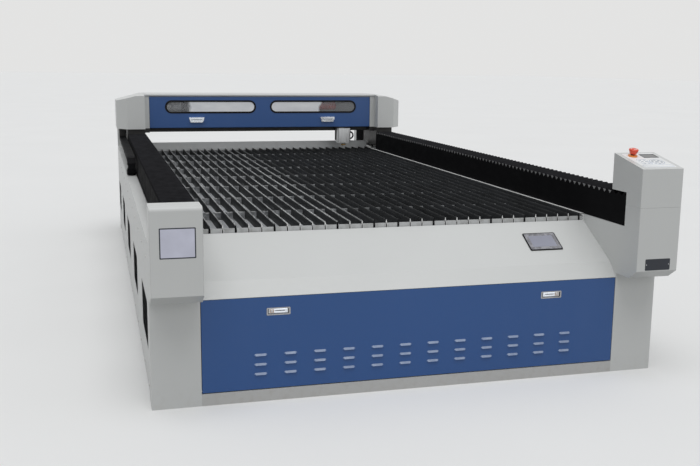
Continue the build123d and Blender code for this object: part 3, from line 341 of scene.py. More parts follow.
def smeared_glass(name, dark, light):
    """Glass front with finger smears that catch the light in patches."""
    s = surface(name, Coat_Weight=1.0, Coat_Roughness=0.05)
    smear = s.noise(55.0, 4.0, (1.0, 0.5, 1.0), 0.6)
    return s.set(
        Base_Color=s.mix(smear.ramp(0.40, 0.62), dark, light),
        Roughness=smear.ramp(0.3, 0.7, 0.12, 0.35),
    )


# Finishes of the record's material slots
finish = {
    "paint_light": powder_coat("light_grey_paint", (0.60, 0.61, 0.60)),
    # the blue paint carries a painted highlight on the faces that look up
    "paint_blue": powder_coat("blue_paint", (0.019, 0.082, 0.262), 0.38, 0.02, top_highlight=0.62),
    "frame_steel": powder_coat("frame_grey_paint", (0.42, 0.43, 0.43), 0.5, 0.12),
    "bright_steel": mill_steel("ground_steel", (0.55, 0.56, 0.56), 0.36, (1.0, 0.05, 1.0), 0.8),
    "blade_steel": blade_finish(),
    "bellows_cloth": coated_cloth("bellows_cloth", (0.0105, 0.0105, 0.0115)),
    "black_plastic": moulded("black_nylon", (0.008, 0.008, 0.009), 0.55, Specular_IOR_Level=0.05),
    "seal_rubber": moulded("window_rubber", (0.008, 0.008, 0.009), 0.65, Specular_IOR_Level=0.2),
    "black_metal": powder_coat("black_paint", (0.012, 0.011, 0.011), 0.55, 0.02),
    "chrome_trim": moulded("bright_chrome", (0.87, 0.91, 0.97), 0.15, 240.0, 0.02, Metallic=0.9),
    "aluminium": mill_steel("turned_aluminium", (0.66, 0.67, 0.68), 0.34, (1.0, 1.0, 0.1)),
    "tube_glass": tube_wall("tube_jacket_glass", (0.86, 0.90, 0.92), 0.34),
    "pane_acrylic": window_sheet("window_acrylic"),
    "boot_silicone": moulded("boot_silicone", (0.50, 0.045, 0.030), 0.5),
    "screen_glass": moulded(
        "screen_glass", (0.012, 0.013, 0.015), 0.12, 60.0, 0.0, Coat_Weight=0.6
    ),
    "overlay_film": moulded("overlay_film", (0.80, 0.81, 0.81), 0.4, 800.0, 0.12),
    "stop_yellow": moulded("stop_collar_orange", (0.80, 0.26, 0.035), 0.3),
    "stop_red": moulded("stop_red", (0.74, 0.060, 0.018), 0.28, 300.0, 0.05, Coat_Weight=0.3),
    "stem_plastic": moulded("stem_plastic", (0.03, 0.03, 0.03), 0.4),
}

# Nodes whose finish differs from the rest of their slot
own_finish = {
    "scrap_tray": tray_finish(),
    "blade_combs": comb_finish(),
    "cross_beams": powder_coat("cross_beam_paint", (0.62, 0.63, 0.64), 0.5, 0.5),
    # painted light: the bed walls take a paler copy of the light grey paint
    "bed_walls": powder_coat("bed_wall_painted_light", (0.80, 0.81, 0.80), 0.45, 0.1),
    # painted shade: the plinth takes a darker copy of the light grey paint
    "front_plinth": powder_coat("plinth_painted_shade", (0.50, 0.50, 0.49), 0.45, 0.12),
    "latch_cups": mill_steel("latch_cup_nickel", (0.40, 0.40, 0.41), 0.32, (0.2, 1.0, 1.0)),
}

for part in frame["record"]["subparts"]:
    mesh = nodes[part["node"]].data
    mesh.materials.clear()
    mesh.materials.append(own_finish.get(part["node"], finish[part["material_slot"]]))

# Finishes of the scene's own small parts
trim = {
    # painted highlight in the notches of the bellows
    "fold_highlight_grey": moulded("bellows_fold_tape", (0.22, 0.22, 0.22), 0.5),
    "key_blue": moulded("key_film_blue", (0.16, 0.25, 0.42), 0.4, 800.0, 0.1),
    "key_grey": moulded("key_film_grey", (0.40, 0.43, 0.47), 0.4, 800.0, 0.1),
    "screen_face": moulded("screen_face", (0.24, 0.25, 0.32), 0.16, 60.0, 0.0, Coat_Weight=1.0),
    "screen_margin": smeared_glass("screen_margin", (0.10, 0.10, 0.115), (0.27, 0.27, 0.30)),
    # painted shadow in the lid handle scoops
    "scoop_shadow_grey": moulded("handle_scoop_grey", (0.22, 0.25, 0.27), 0.4, 300.0, 0.05),
    "plate_dark": moulded("plate_enamel", (0.016, 0.020, 0.030), 0.35, 900.0, 0.05),
    "plate_pale": moulded("plate_film", (0.60, 0.61, 0.72), 0.45, 700.0, 0.08),
    "arrow_white": moulded("arrow_white", (0.72, 0.70, 0.66), 0.45, 700.0, 0.08),
    "screw_zinc": mill_steel("screw_zinc", (0.50, 0.50, 0.49), 0.34, (1.0, 1.0, 1.0), 1.0, 0.3),
    # painted shade: black for the hollow blade cores and the keyways; also soot on some blade ends
    "soot_and_shade_black": moulded("soot_and_shade_core", (0.004, 0.004, 0.005), 0.8, Specular_IOR_Level=0.1),
    # painted highlight: paler paint for the widened lips of the bed walls
    "edge_highlight_white": powder_coat("bed_edge_painted_highlight", (0.90, 0.90, 0.89), 0.4, 0.05),
    # painted highlight: the pale diffuse walls of the blade ends
    "end_highlight": mill_steel("blade_end_bright", (0.92, 0.92, 0.91), 0.42, (1.0, 1.0, 0.3), 0.0),
    "lock_nickel": mill_steel("lock_nickel", (0.46, 0.38, 0.33), 0.38, (1.0, 1.0, 1.0), 0.8),
    "brass": mill_steel("turned_brass", (0.62, 0.43, 0.17), 0.30, (1.0, 1.0, 0.2)),
    "core_glass": tube_wall("tube_core_glass", (0.80, 0.86, 0.90), 0.55),
}


# Mesh tools
class Form:
    """Vertices and faces that are gathered before they become one piece."""

    def __init__(self):
        self.vertices, self.faces = [], []

    def add(self, vertices, faces):
        base = len(self.vertices)
        self.vertices += [tuple(vertex) for vertex in vertices]
        self.faces += [tuple(base + index for index in face) for face in faces]

    def prism(self, outline, near, far, place):
        """A flat outline given thickness between two depths."""
        count = len(outline)
        rim = [place(u, v, near) for u, v in outline] + [place(u, v, far) for u, v in outline]
        walls = [(i, (i + 1) % count, (i + 1) % count + count, i + count) for i in range(count)]
        self.add(rim, walls + [tuple(range(count))[::-1], tuple(range(count, 2 * count))])

    def band(self, outside, inside, near, far, place):
        """A closed band between two outlines with as many points each."""
        count = len(outside)
        rings = [(outside, near), (outside, far), (inside, far), (inside, near)]
        points = [place(u, v, depth) for outline, depth in rings for u, v in outline]
        faces = []
        for ring in range(4):
            for i in range(count):
                j, low, high = (i + 1) % count, ring * count, (ring + 1) % 4 * count
                faces.append((low + i, low + j, high + j, high + i))
        self.add(points, faces)

    def turn(self, profile, place, segments=24):
        """A profile of radius and distance turned about an axis; radius 0 closes an end."""
        rows, points, faces = [], [], []
        for radius, along in profile:
            if radius == 0:
                rows.append([len(points)] * segments)
                points.append(place(0, 0, along))
                continue
            rows.append(list(range(len(points), len(points) + segments)))
            for index in range(segments):
                angle = 2 * math.pi * index / segments
                points.append(place(radius * math.cos(angle), radius * math.sin(angle), along))
        for low, high in zip(rows, rows[1:]):
            for i in range(segments):
                j = (i + 1) % segments
                corners = (low[i], low[j], high[j], high[i])
                faces.append(tuple(dict.fromkeys(corners)))
        self.add(points, faces)


def piece(name, form, material, body, replaces=(), rounding=0.0, crease=35):
    """Make a form into a piece with one material, riding on a body when one is given."""
    mesh = bpy.data.meshes.new(name)
    mesh.from_pydata(form.vertices, [], form.faces)
    mesh.validate()
    work = bmesh.new()
    work.from_mesh(mesh)
    bmesh.ops.recalc_face_normals(work, faces=work.faces)
    if rounding:
        sharp = [e for e in work.edges if e.is_manifold and e.calc_face_angle() > math.radians(40)]
        bmesh.ops.bevel(
            work, geom=sharp, offset=rounding, segments=2, affect="EDGES", clamp_overlap=True
        )
    work.to_mesh(mesh)
    work.free()
    mesh.materials.append(material)
    for polygon in mesh.polygons:
        polygon.use_smooth = True
    mesh.set_sharp_from_angle(angle=math.radians(crease))
    thing = bpy.data.objects.new(name, mesh)
    scene.collection.objects.link(thing)
    if body:
        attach(thing, body)
    if replaces:
        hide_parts(*replaces)
    return thing


def rounded(width, height, radius, segments=5, centre=(0.0, 0.0)):
    """Outline of a rectangle with round corners."""
    points = []
    for turn, (sx, sy) in enumerate(((1, 1), (-1, 1), (-1, -1), (1, -1))):
        for step in range(segments + 1):
            angle = math.pi / 2 * (turn + step / segments)
            points.append(
                (
                    centre[0] + sx * (width / 2 - radius) + radius * math.cos(angle),
                    centre[1] + sy * (height / 2 - radius) + radius * math.sin(angle),
                )
            )
    return points


def circle(radius, segments=20, centre=(0.0, 0.0)):
    return [
        (
            centre[0] + radius * math.cos(2 * math.pi * i / segments),
            centre[1] + radius * math.sin(2 * math.pi * i / segments),
        )
        for i in range(segments)
    ]


def facing_front(y):
    """Place outlines on a wall that faces the operator, with depth towards them."""
    return lambda u, v, w: (u, y - w, v)


def on_plane(origin, across, up):
    """Place outlines on any plane, with depth along its normal."""
    origin, across, up = Vector(origin), Vector(across), Vector(up)
    normal = across.cross(up)
    return lambda u, v, w: origin + across * u + up * v + normal * w


def shifted(place, u, v):
    """The same plane with its middle moved."""
    return lambda a, b, w: place(u + a, v + b, w)


# Bellows over the side rails
def bellows(name, node, side, start, end, pleats):
    """Folded cover: the cloth goes over the rail in rings, deep on top and barely creased below."""
    inner, outer = side * BED_HALF, side * BELLOWS_OUTER
    depth, wall_crease, corner = 0.016, 0.0004, 0.003
    around = 6
    rings = [
        (start + (end - start) * index / (2 * pleats), 1.0 - index % 2)
        for index in range(2 * pleats + 1)
    ]
    form = Form()
    for y, fold in rings:
        top = BELLOWS_CREST - depth * fold
        near = inner + side * wall_crease * fold
        far = outer - side * wall_crease * fold
        form.vertices += [
            (near, y, BELLOWS_FLOOR),
            (near, y, top - corner),
            (near + side * corner, y, top),
            (far - side * corner, y, top),
            (far, y, top - corner),
            (far, y, BELLOWS_FLOOR),
        ]
    for ring in range(len(rings) - 1):
        for step in range(around - 1):
            a = ring * around + step
            form.faces.append((a, a + 1, a + around + 1, a + around))
    return piece(name, form, finish["bellows_cloth"], None, (node,), crease=15)


def fold_highlights(name, side, start, end, pleats):
    """Pale notches along the bed side of a cover: a painted highlight where light catches the pleat
    faces.
    """
    pitch = (end - start) / pleats
    inner = side * BED_HALF
    high, low, half = BELLOWS_CREST - 0.0032, BELLOWS_CREST - 0.0162, pitch * 0.27
    form = Form()
    for index in range(3, pleats):
        y = start + pitch * index
        notch = [(y - half, high), (y, low), (y + half, high)]
        form.prism(notch, inner + side * 0.0002, inner + side * 0.0012, lambda u, v, w: (w, u, v))
    return piece(name, form, trim["fold_highlight_grey"], None)


for side, tag in ((-1, "left"), (1, "right")):
    front_span = (side, BELLOWS_FRONT, CARRIAGE_FRONT, FRONT_PLEATS)
    front_cover = bellows(f"bellows_cover_front_{tag}", f"bellows_front_{tag}", *front_span)
    front_fold_highlights = fold_highlights(f"bellows_fold_ends_{tag}", *front_span)
    for cover in (front_cover, front_fold_highlights):
        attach(cover, "machine")
        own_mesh(cover)
    rear_span = (side, CARRIAGE_BACK, REAR_BOX, REAR_PLEATS)
    rear_cover = bellows(f"bellows_cover_rear_{tag}", f"bellows_rear_{tag}", *rear_span)
    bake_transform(rear_cover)

# Drag chain in the left tray
CHAIN_X, CHAIN_HALF, CHAIN_GAP, BEND_RADIUS = -1.048, 0.024, 0.0003, 0.042
UPPER_LINKS, LOWER_LINKS, BEND_LINKS = 48, 46, 5
NARROW_BAR, WIDE_BAR = 0.35, 0.98
BEND_Y, BEND_Z = LEG_FRONT + 2.1295, 0.7098
CHAIN_FIXED, CHAIN_TOWED = LEG_FRONT + 2.2215, LEG_FRONT + 3.7147


def chain_link(form, reach, outer, place, back=NARROW_BAR):
    """One link: two stadium side plates and a bar above and below; even and odd links overlap."""
    height, plate = 0.0115, 0.003
    edge = CHAIN_HALF if outer else CHAIN_HALF - plate - CHAIN_GAP
    nose = min(height, reach)
    stadium = []
    for end in (1, -1):
        for step in range(7):
            angle = math.pi * (step / 6 - end / 2)
            middle = end * (reach - nose)
            stadium.append((middle + nose * math.cos(angle), height * math.sin(angle)))
    for side in (-1, 1):
        form.prism(stadium, side * edge, side * (edge - plate), place)
    for level, half in ((-1, reach * NARROW_BAR), (1, reach * back)):
        face, root = level * height, level * height * 0.72
        bar = [(-half, root), (half, root), (half, face), (-half, face)]
        form.prism(bar, plate - edge, edge - plate, place)


def straight_chain(name, node, start, end, count, level):
    """A run of links along Y; the shorter the run, the closer they are packed."""
    pitch = (end - start) / count
    form = Form()
    for index in range(count):
        middle = start + pitch * (index + 0.5)
        spare = min(0.32 * pitch, 0.0095) if 0 < index < count - 1 else 0.0
        chain_link(
            form,
            pitch / 2 + spare,
            index % 2 == 0,
            lambda u, v, w, middle=middle: (CHAIN_X + w, middle + u, level + v),
        )
    return piece(name, form, finish["black_plastic"], None, (node,), crease=30)


upper = BEND_Z + BEND_RADIUS
run_start = BEND_Y + CHAIN_GAP
upper_run = straight_chain(
    "drag_chain_upper_run", "drag_chain_upper", run_start, CHAIN_TOWED, UPPER_LINKS, upper
)
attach(upper_run, "gantry")
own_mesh(upper_run)
lower = BEND_Z - BEND_RADIUS
lower_run = straight_chain(
    "drag_chain_lower_run", "drag_chain_lower", run_start, CHAIN_FIXED, LOWER_LINKS, lower
)
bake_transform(lower_run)

bend_form = Form()
for index in range(BEND_LINKS):
    angle = math.pi / 2 + math.pi * (index + 0.5) / BEND_LINKS
    radial = Vector((0, math.cos(angle), math.sin(angle)))
    tangent = Vector((0, -math.sin(angle), math.cos(angle)))
    centre = Vector((CHAIN_X, BEND_Y, BEND_Z)) + radial * BEND_RADIUS
    chain_link(
        bend_form,
        0.0165 if 0 < index < BEND_LINKS - 1 else 0.0128,
        index % 2 == 1,
        lambda u, v, w, c=centre, t=tangent, r=radial: c + t * u + r * v + Vector((w, 0, 0)),
        back=WIDE_BAR,
    )
piece(
    "drag_chain_bend_links",
    bend_form,
    finish["black_plastic"],
    "chain_bend",
    ("drag_chain_bend",),
    crease=30,
)

# Laser tube behind the windows: water jacket, bore, return coil, electrodes and their boot
TUBE_Y, TUBE_Z, TUBE_START, TUBE_END = LEG_FRONT + 3.760, 0.985, -0.753, 0.497


def along_tube(u, v, w):
    return (w, TUBE_Y + u, TUBE_Z + v)


neck = [(0.0, 0.012), (0.020, 0.012), (0.0255, 0.018), (0.0255, 0.068)]
shoulder = [(0.030, 0.074), (0.0375, 0.080), (0.040, 0.090)]
glass_end = neck + shoulder
jacket = Form()
jacket.turn(
    [(radius, TUBE_START + inward) for radius, inward in glass_end]
    + [(radius, TUBE_END - inward) for radius, inward in reversed(glass_end)],
    along_tube,
    36,
)
piece("tube_jacket", jacket, finish["tube_glass"], "gantry", ("laser_tube",))

bore_radius, bore_start, bore_end = 0.011, TUBE_START + 0.1, TUBE_END - 0.1
bore = Form()
bore.turn(
    [(0.0, bore_start), (bore_radius, bore_start), (bore_radius, bore_end), (0.0, bore_end)],
    along_tube,
    20,
)
turns, steps, sides = 26, 16, 6
coil_radius, coil_inset = 0.0205, 0.15
coil_ring = circle(0.0028, sides)
coil_span = TUBE_END - TUBE_START - 2 * coil_inset
for step in range(turns * steps):
    corners = []
    for place in (step, step + 1):
        angle = 2 * math.pi * place / steps
        x = TUBE_START + coil_inset + coil_span * place / (turns * steps)
        for a, b in coil_ring:
            reach = coil_radius + a
            corners.append(along_tube(reach * math.cos(angle), reach * math.sin(angle), x + b))
    bore.add(
        corners, [(i, (i + 1) % sides, (i + 1) % sides + sides, i + sides) for i in range(sides)]
    )
piece("tube_bore_and_coil", bore, trim["core_glass"], "gantry")

cap = [(0.0, 0.0), (0.021, 0.0), (0.023, 0.002), (0.023, 0.010), (0.019, 0.0115), (0.0, 0.0115)]
electrode = [(0.0, 0.030), (0.0185, 0.030), (0.0185, 0.064), (0.0, 0.064)]
ends = Form()
for end, inward in ((TUBE_START, 1), (TUBE_END, -1)):
    for profile in (cap, electrode):
        ends.turn([(radius, end + inward * depth) for radius, depth in profile], along_tube, 28)
piece("tube_electrodes", ends, finish["aluminium"], "gantry")

rib_steps, rib_step, valley, rib = 20, 0.0052, 0.031, 0.003
boot = Form()
ribs = [(0.0, TUBE_END + 0.110), (0.016, TUBE_END + 0.110), (0.026, TUBE_END + 0.106)]
ribs += [(valley + rib * (i % 2), TUBE_END + 0.100 - i * rib_step) for i in range(rib_steps)]
ribs += [(0.034, TUBE_END - 0.010), (0.034, TUBE_END - 0.048), (0.032, TUBE_END - 0.050)]
ribs += [(0.0265, TUBE_END - 0.050), (0.0265, TUBE_END + 0.002), (0.0, TUBE_END + 0.002)]
boot.turn(ribs, along_tube, 36)
piece(
    "tube_boot_ribbed",
    boot,
    finish["boot_silicone"],
    "gantry",
    ("tube_boot",),
    crease=50,
)

# Console overlay: domed keys in a ring, two columns of keys, and the printed lines around them
CONSOLE_SLOPE = math.atan2(0.047, 0.222)
console_up = (0, math.cos(CONSOLE_SLOPE), math.sin(CONSOLE_SLOPE))
console = on_plane((BED_HALF + 0.095, FRONT, 0.902), (1, 0, 0), console_up)
RING, DISPLAY, STOP = (0.026, 0.092), (0.036, 0.172), (-0.041, 0.172)
COLUMN, COLUMN_PITCH = (-0.040, 0.116), 0.019
keys = Form()
key_spots = [(u, v, 0.0052) for u, v in circle(0.0205, 8, RING)]
key_spots += [(*RING, 0.0078)]
key_spots += [
    (COLUMN[0] + COLUMN_PITCH * column, COLUMN[1] - COLUMN_PITCH * row, 0.0058)
    for column in (0, 1)
    for row in (0, 1, 2)
]
for u, v, radius in key_spots:
    keys.turn(
        [(radius, 0.0008), (radius * 0.96, 0.0014), (radius * 0.7, 0.0019), (0.0, 0.0021)],
        shifted(console, u, v),
        20,
    )
piece("console_keys", keys, trim["key_grey"], "machine")

COLUMNS_MIDDLE, LEGEND_MIDDLE = (-0.0305, 0.097), (0.0, 0.040)
printed = Form()
for outside, inside in (
    (circle(0.0315, 48, RING), circle(0.0300, 48, RING)),
    (
        rounded(0.044, 0.062, 0.006, 5, COLUMNS_MIDDLE),
        rounded(0.0415, 0.0595, 0.005, 5, COLUMNS_MIDDLE),
    ),
    (
        rounded(0.136, 0.026, 0.004, 5, LEGEND_MIDDLE),
        rounded(0.134, 0.024, 0.003, 5, LEGEND_MIDDLE),
    ),
):
    printed.band(outside, inside, 0.0009, 0.0012, console)
piece("console_print", printed, trim["key_blue"], "machine")

display_rim = Form()
display_rim.band(
    rounded(0.0712, 0.0472, 0.001, 2, DISPLAY),
    rounded(0.0655, 0.0360, 0.001, 2, DISPLAY),
    0.0010,
    0.0016,
    console,
)
piece("console_display_rim", display_rim, trim["plate_dark"], "machine")

# Emergency stop: its head with a low dome, and the turn arrows on it
stop_face = on_plane(console(*STOP, 0.0), (1, 0, 0), console_up)
HEAD_TOP, DOME = 0.0356, 0.0634


def on_dome(u, v, w):
    """Follow the crown of the stop head."""
    fall = DOME - math.sqrt(DOME * DOME - u * u - v * v)
    return stop_face(u, v, HEAD_TOP - fall + w)


mushroom = Form()
mushroom.turn(
    [
        (0.0, 0.0123),
        (0.0135, 0.0123),
        (0.0150, 0.0140),
        (0.0162, 0.0190),
        (0.0186, 0.0244),
        (0.0199, 0.0276),
        (0.0200, 0.0298),
        (0.0192, 0.0317),
        (0.0176, 0.0331),
        (0.0150, 0.0338),
        (0.0080, 0.0351),
        (0.0, HEAD_TOP),
    ],
    stop_face,
    40,
)
piece(
    "stop_mushroom",
    mushroom,
    finish["stop_red"],
    "stop_knob",
    ("stop_head",),
    crease=50,
)


def at_angle(radius, angle):
    return (radius * math.cos(angle), radius * math.sin(angle))


arrow_sweep, arrow_reach = math.radians(62), math.radians(84)
arrows = Form()
for turn in range(3):
    start = 2 * math.pi * turn / 3
    arc = [start + arrow_sweep * step / 8 for step in range(9)]
    outline = [at_angle(0.0138, angle) for angle in arc]
    outline += [
        at_angle(0.0158, arc[-1]),
        at_angle(0.0127, start + arrow_reach),
        at_angle(0.0096, arc[-1]),
    ]
    outline += [at_angle(0.0116, angle) for angle in reversed(arc)]
    arrows.prism(outline, -0.0004, 0.0002, on_dome)
piece("stop_arrows", arrows, trim["arrow_white"], "stop_knob")

# Rolled front edge of the gantry's cover
LIP_FRONT, LIP_MIDDLE, LIP_HALF = LID_FRONT - 0.002, 1.0712, 0.0087
LIP_BULGE, LIP_SUNK, COVER_HALF = 0.0055, 0.0002, 0.8885
around = [math.pi * step / 12 for step in range(13)]
lip = [(LIP_FRONT - LIP_BULGE * math.sin(a), LIP_MIDDLE + LIP_HALF * math.cos(a)) for a in around]
lip += [(LIP_FRONT + LIP_SUNK, LIP_MIDDLE + level * LIP_HALF) for level in (-1, 1)]
roll = Form()
roll.prism(lip, -COVER_HALF, COVER_HALF, lambda u, v, w: (w, u, v))
piece("cover_rolled_edge", roll, finish["paint_light"], "gantry", crease=50)

# Touch screen on the slope: its front glass and the lit area
SLOPE, UP_SLOPE = math.atan2(0.142, 0.246), 0.146
SLOPE_FOOT = Vector((0.624, LEG_FRONT + 0.054, 0.480))
slope_up = Vector((0, math.cos(SLOPE), math.sin(SLOPE)))
screen = on_plane(SLOPE_FOOT + slope_up * UP_SLOPE, (1, 0, 0), slope_up)
glass = Form()
glass.prism(rounded(0.1450, 0.1040, 0.004, 4), 0.0039, 0.0046, screen)
piece(
    "screen_front_glass", glass, trim["screen_margin"], "machine", rounding=0.0002
)
face = Form()
face.prism(rounded(0.1130, 0.0720, 0.002, 3), 0.0045, 0.0048, screen)
piece("screen_active_area", face, trim["screen_face"], "machine")

# Grey strips across the mouths of the lid's two handles: painted shadow in their scoops
HANDLE_FRONT, HANDLE_X, HANDLE_Z = LID_FRONT - 0.017, 0.506, 0.8885
for side, tag in ((-1, "left"), (1, "right")):
    scoop = Form()
    mouth = rounded(0.082, 0.005, 0.002, 4, (side * HANDLE_X, HANDLE_Z))
    scoop.prism(mouth, -0.0002, 0.0003, facing_front(HANDLE_FRONT))
    piece(f"lid_handle_scoop_shadow_{tag}", scoop, trim["scoop_shadow_grey"], "lid")

# Bare plates: a dark one on the pedestal and a pale bordered one on the left box
wall = facing_front(FRONT)
DARK_PLATE, RIVET_REACH, PALE_PLATE = (0.982, 0.505), 0.052, (-0.976, 0.6745)
dark_plate = Form()
dark_plate.prism(rounded(0.116, 0.048, 0.004, 4, DARK_PLATE), -0.0002, 0.0004, wall)
piece("pedestal_plate", dark_plate, trim["plate_dark"], "machine")
rivets = Form()
for side in (-1, 1):
    rivets.turn(
        [(0.0022, 0.0001), (0.0019, 0.0004), (0.0, 0.00045)],
        shifted(wall, DARK_PLATE[0] + side * RIVET_REACH, DARK_PLATE[1]),
        12,
    )
piece("pedestal_plate_rivets", rivets, finish["aluminium"], "machine")
pale_plate = Form()
pale_plate.prism(rounded(0.124, 0.106, 0.002, 3, PALE_PLATE), -0.0002, 0.0003, wall)
piece("left_box_plate", pale_plate, trim["plate_pale"], "machine")
border = Form()
border.band(
    rounded(0.130, 0.112, 0.003, 3, PALE_PLATE),
    rounded(0.1215, 0.1035, 0.0015, 3, PALE_PLATE),
    -0.0002,
    0.0004,
    wall,
)
piece("left_box_plate_border", border, trim["plate_dark"], "machine")

# Door latches: a dished paddle with a finger slot, and a lock at its outer end
PADDLE_X, PADDLE_Y, PADDLE_MIDDLE = 0.583, LEG_FRONT + 0.0008, 0.363
SLOT_INWARD, LOCK_OUTWARD = 0.006, 0.0262


def latch_lever(form, centre, side):
    """Dished lever: the crown of each bar stands forward of its edges."""
    levels = [(1.0, 0.0, 0.0044), (1.0, 0.0, 0.0006), (0.93, 0.30, 0.0), (0.80, 0.62, 0.0)]
    levels += [(0.72, 1.0, 0.0006), (0.70, 1.06, 0.0044)]
    outside = rounded(0.0734, 0.0174, 0.003, 6)
    slot = rounded(0.0400, 0.0034, 0.0016, 6)
    rows = []
    for share, inward, depth in levels:
        row = []
        for (ou, ov), (su, sv) in zip(outside, slot):
            su -= side * SLOT_INWARD
            part = min(inward, 1.0)
            u, v = ou + (su - ou) * part, ov + (sv - ov) * part
            row.append((centre + u, PADDLE_Y + depth, PADDLE_MIDDLE + v))
        rows.append(row)
    count = len(outside)
    points = [point for row in rows for point in row]
    faces = []
    for ring in range(len(rows)):
        low, high = ring * count, (ring + 1) % len(rows) * count
        for i in range(count):
            j = (i + 1) % count
            faces.append((low + i, low + j, high + j, high + i))
    form.add(points, faces)


for side, tag in ((-1, "left"), (1, "right")):
    lever = Form()
    latch_lever(lever, side * PADDLE_X, side)
    piece(
        f"latch_lever_{tag}",
        lever,
        finish["chrome_trim"],
        f"latch_{tag}",
        (f"latch_paddle_{tag}",),
    )
    front_of = facing_front(PADDLE_Y)
    middle = (side * (PADDLE_X + LOCK_OUTWARD), PADDLE_MIDDLE)
    block = Form()
    block.prism(rounded(0.0170, 0.0150, 0.002, 4, middle), 0.0001, 0.0009, front_of)
    piece(
        f"latch_lock_block_{tag}",
        block,
        trim["lock_nickel"],
        f"latch_{tag}",
        rounding=0.0003,
    )
    barrel = Form()
    barrel.turn(
        [(0.0042, 0.0008), (0.0042, 0.0014), (0.0036, 0.0017), (0.0, 0.0017)],
        shifted(front_of, *middle),
        20,
    )
    piece(f"latch_lock_barrel_{tag}", barrel, finish["aluminium"], f"latch_{tag}")
    # painted shade: a black sheet stands for the dark inside the keyway
    keyway = Form()
    keyway.prism(rounded(0.0009, 0.0046, 0.0004, 3, middle), 0.0016, 0.0018, front_of)
    piece(f"latch_keyway_{tag}", keyway, trim["soot_and_shade_black"], f"latch_{tag}")

# Blade ends at the operator's end: pale walls, partly bare cut metal and partly a painted
# highlight, around a core painted black as the shade inside; some whole ends are dark with soot
ends_bright, ends_dark = Form(), Form()
outline = [
    (-0.0042, -0.003),
    (-0.0042, 0.020),
    (-0.0007, 0.042),
    (0.0007, 0.042),
    (0.0042, 0.020),
    (0.0042, -0.003),
]
core = [
    (-0.0026, -0.001),
    (-0.0026, 0.019),
    (-0.0006, 0.031),
    (0.0006, 0.031),
    (0.0026, 0.019),
    (0.0026, -0.001),
]
for index in range(BLADE_COUNT):
    blade_x = BLADE_PITCH * (index - BLADE_COUNT // 2)
    on_blade = shifted(facing_front(BLADE_FRONT), blade_x, BLADE_FOOT)
    sooty = math.sin(index * 2.4) > 0.62
    (ends_dark if sooty else ends_bright).prism(outline, 0.0005, 0.0001, on_blade)
    ends_dark.prism(core, 0.0007, 0.0005, on_blade)
piece("blade_end_walls", ends_bright, trim["end_highlight"], "machine")
piece("blade_end_soot_and_shade", ends_dark, trim["soot_and_shade_black"], "machine")

# Edge strips on the lips of the bed walls, along both bellows: a widened lip in paler paint than
# the wall, a painted highlight
STRIP_INNER, STRIP_OUTER = BED_HALF - 0.0153, BED_HALF - 0.0004
STRIP_FLOOR, STRIP_TOP = 0.6530, 0.6538
STRIP_FRONT, STRIP_REAR = -1.7225, 1.7845
section = [
    (STRIP_INNER, STRIP_FLOOR),
    (STRIP_OUTER, STRIP_FLOOR),
    (STRIP_OUTER, STRIP_TOP),
    (STRIP_INNER, STRIP_TOP),
]
for side, tag in ((-1, "left"), (1, "right")):
    strip = Form()
    strip.prism(section, STRIP_FRONT, STRIP_REAR, lambda u, v, w, side=side: (side * u, w, v))
    piece(f"bed_edge_highlight_strip_{tag}", strip, trim["edge_highlight_white"], "machine")

# Knurled ring that locks the lens tube
LENS, RING_FLOOR, RING_TOP = (0.640, LEG_FRONT + 3.636), 0.6835, 0.6905
teeth, crest_radius, tooth = 40, 0.0182, 0.0008
knurl = [at_angle(crest_radius - tooth * (i % 2), math.pi * i / teeth) for i in range(2 * teeth)]
ring = Form()
ring.prism(knurl, RING_FLOOR, RING_TOP, lambda u, v, w: (LENS[0] + u, LENS[1] + v, w))
piece("lens_tube_ring", ring, trim["brass"], "focus")


# Button-head screws
def screws(name, spots, place, body, radius=0.0055):
    """Domed heads with a recess for the key."""
    dome = [(1.0, 0.0), (1.0, 0.0006), (0.86, 0.0018), (0.55, 0.0025)]
    recess = [(0.55, 0.0025), (0.48, 0.0023), (0.46, 0.0008), (0.0, 0.0007)]
    form = Form()
    for u, v in spots:
        for profile in (dome, recess):
            form.turn(
                [(radius * share, height) for share, height in profile], shifted(place, u, v), 12
            )
    return piece(name, form, trim["screw_zinc"], body)


SIDE_FIRST, SIDE_PITCH = -1.895, 0.3159
side_columns = [SIDE_FIRST + SIDE_PITCH * index for index in range(13)]
for side, tag in ((-1, "left"), (1, "right")):
    screws(
        f"side_panel_screws_{tag}",
        [(y, z) for y in side_columns for z in (0.058, 0.575)],
        lambda u, v, w, side=side: (side * (OUTER + w), u, v),
        "machine",
    )


def facing_rear(y):
    """Place outlines on a wall that faces away from the operator."""
    return lambda u, v, w: (-u, y + w, v)


SCREW_REACH = 0.86
SPIGOT_X, SPIGOT_Z, SPIGOT_BOLTS = 0.43, 0.3, 0.0825
spots = [(SCREW_REACH * (index / 2 - 1), z) for index in range(5) for z in (0.060, 0.620)]
spots += [(side * SCREW_REACH, 0.34) for side in (-1, 1)]
screws("rear_panel_screws", spots, facing_rear(REAR_PANEL), "machine")
spots = [
    (side * SPIGOT_X + SPIGOT_BOLTS * math.cos(a), SPIGOT_Z + SPIGOT_BOLTS * math.sin(a))
    for side in (-1, 1)
    for a in (math.pi / 6 + math.pi / 3 * i for i in range(6))
]
screws("spigot_screws", spots, facing_rear(REAR_PANEL + FLANGE), "machine", radius=0.0035)
spots = [(SCREW_REACH * (index / 3 - 1), z) for index in range(7) for z in (0.815, 1.060)]
screws("gantry_cover_screws", spots, facing_rear(COVER_BACK), "gantry")


# Stage: floor, air, lights and camera
def looked_at(shader):
    """1 where the camera, a mirror or a window looks, 0 where light is only gathered."""
    camera, glossy, passing = (
        shader.node("LightPath", out=f"Is {ray} Ray")
        for ray in ("Camera", "Glossy", "Transmission")
    )
    return camera.larger(glossy).larger(passing)


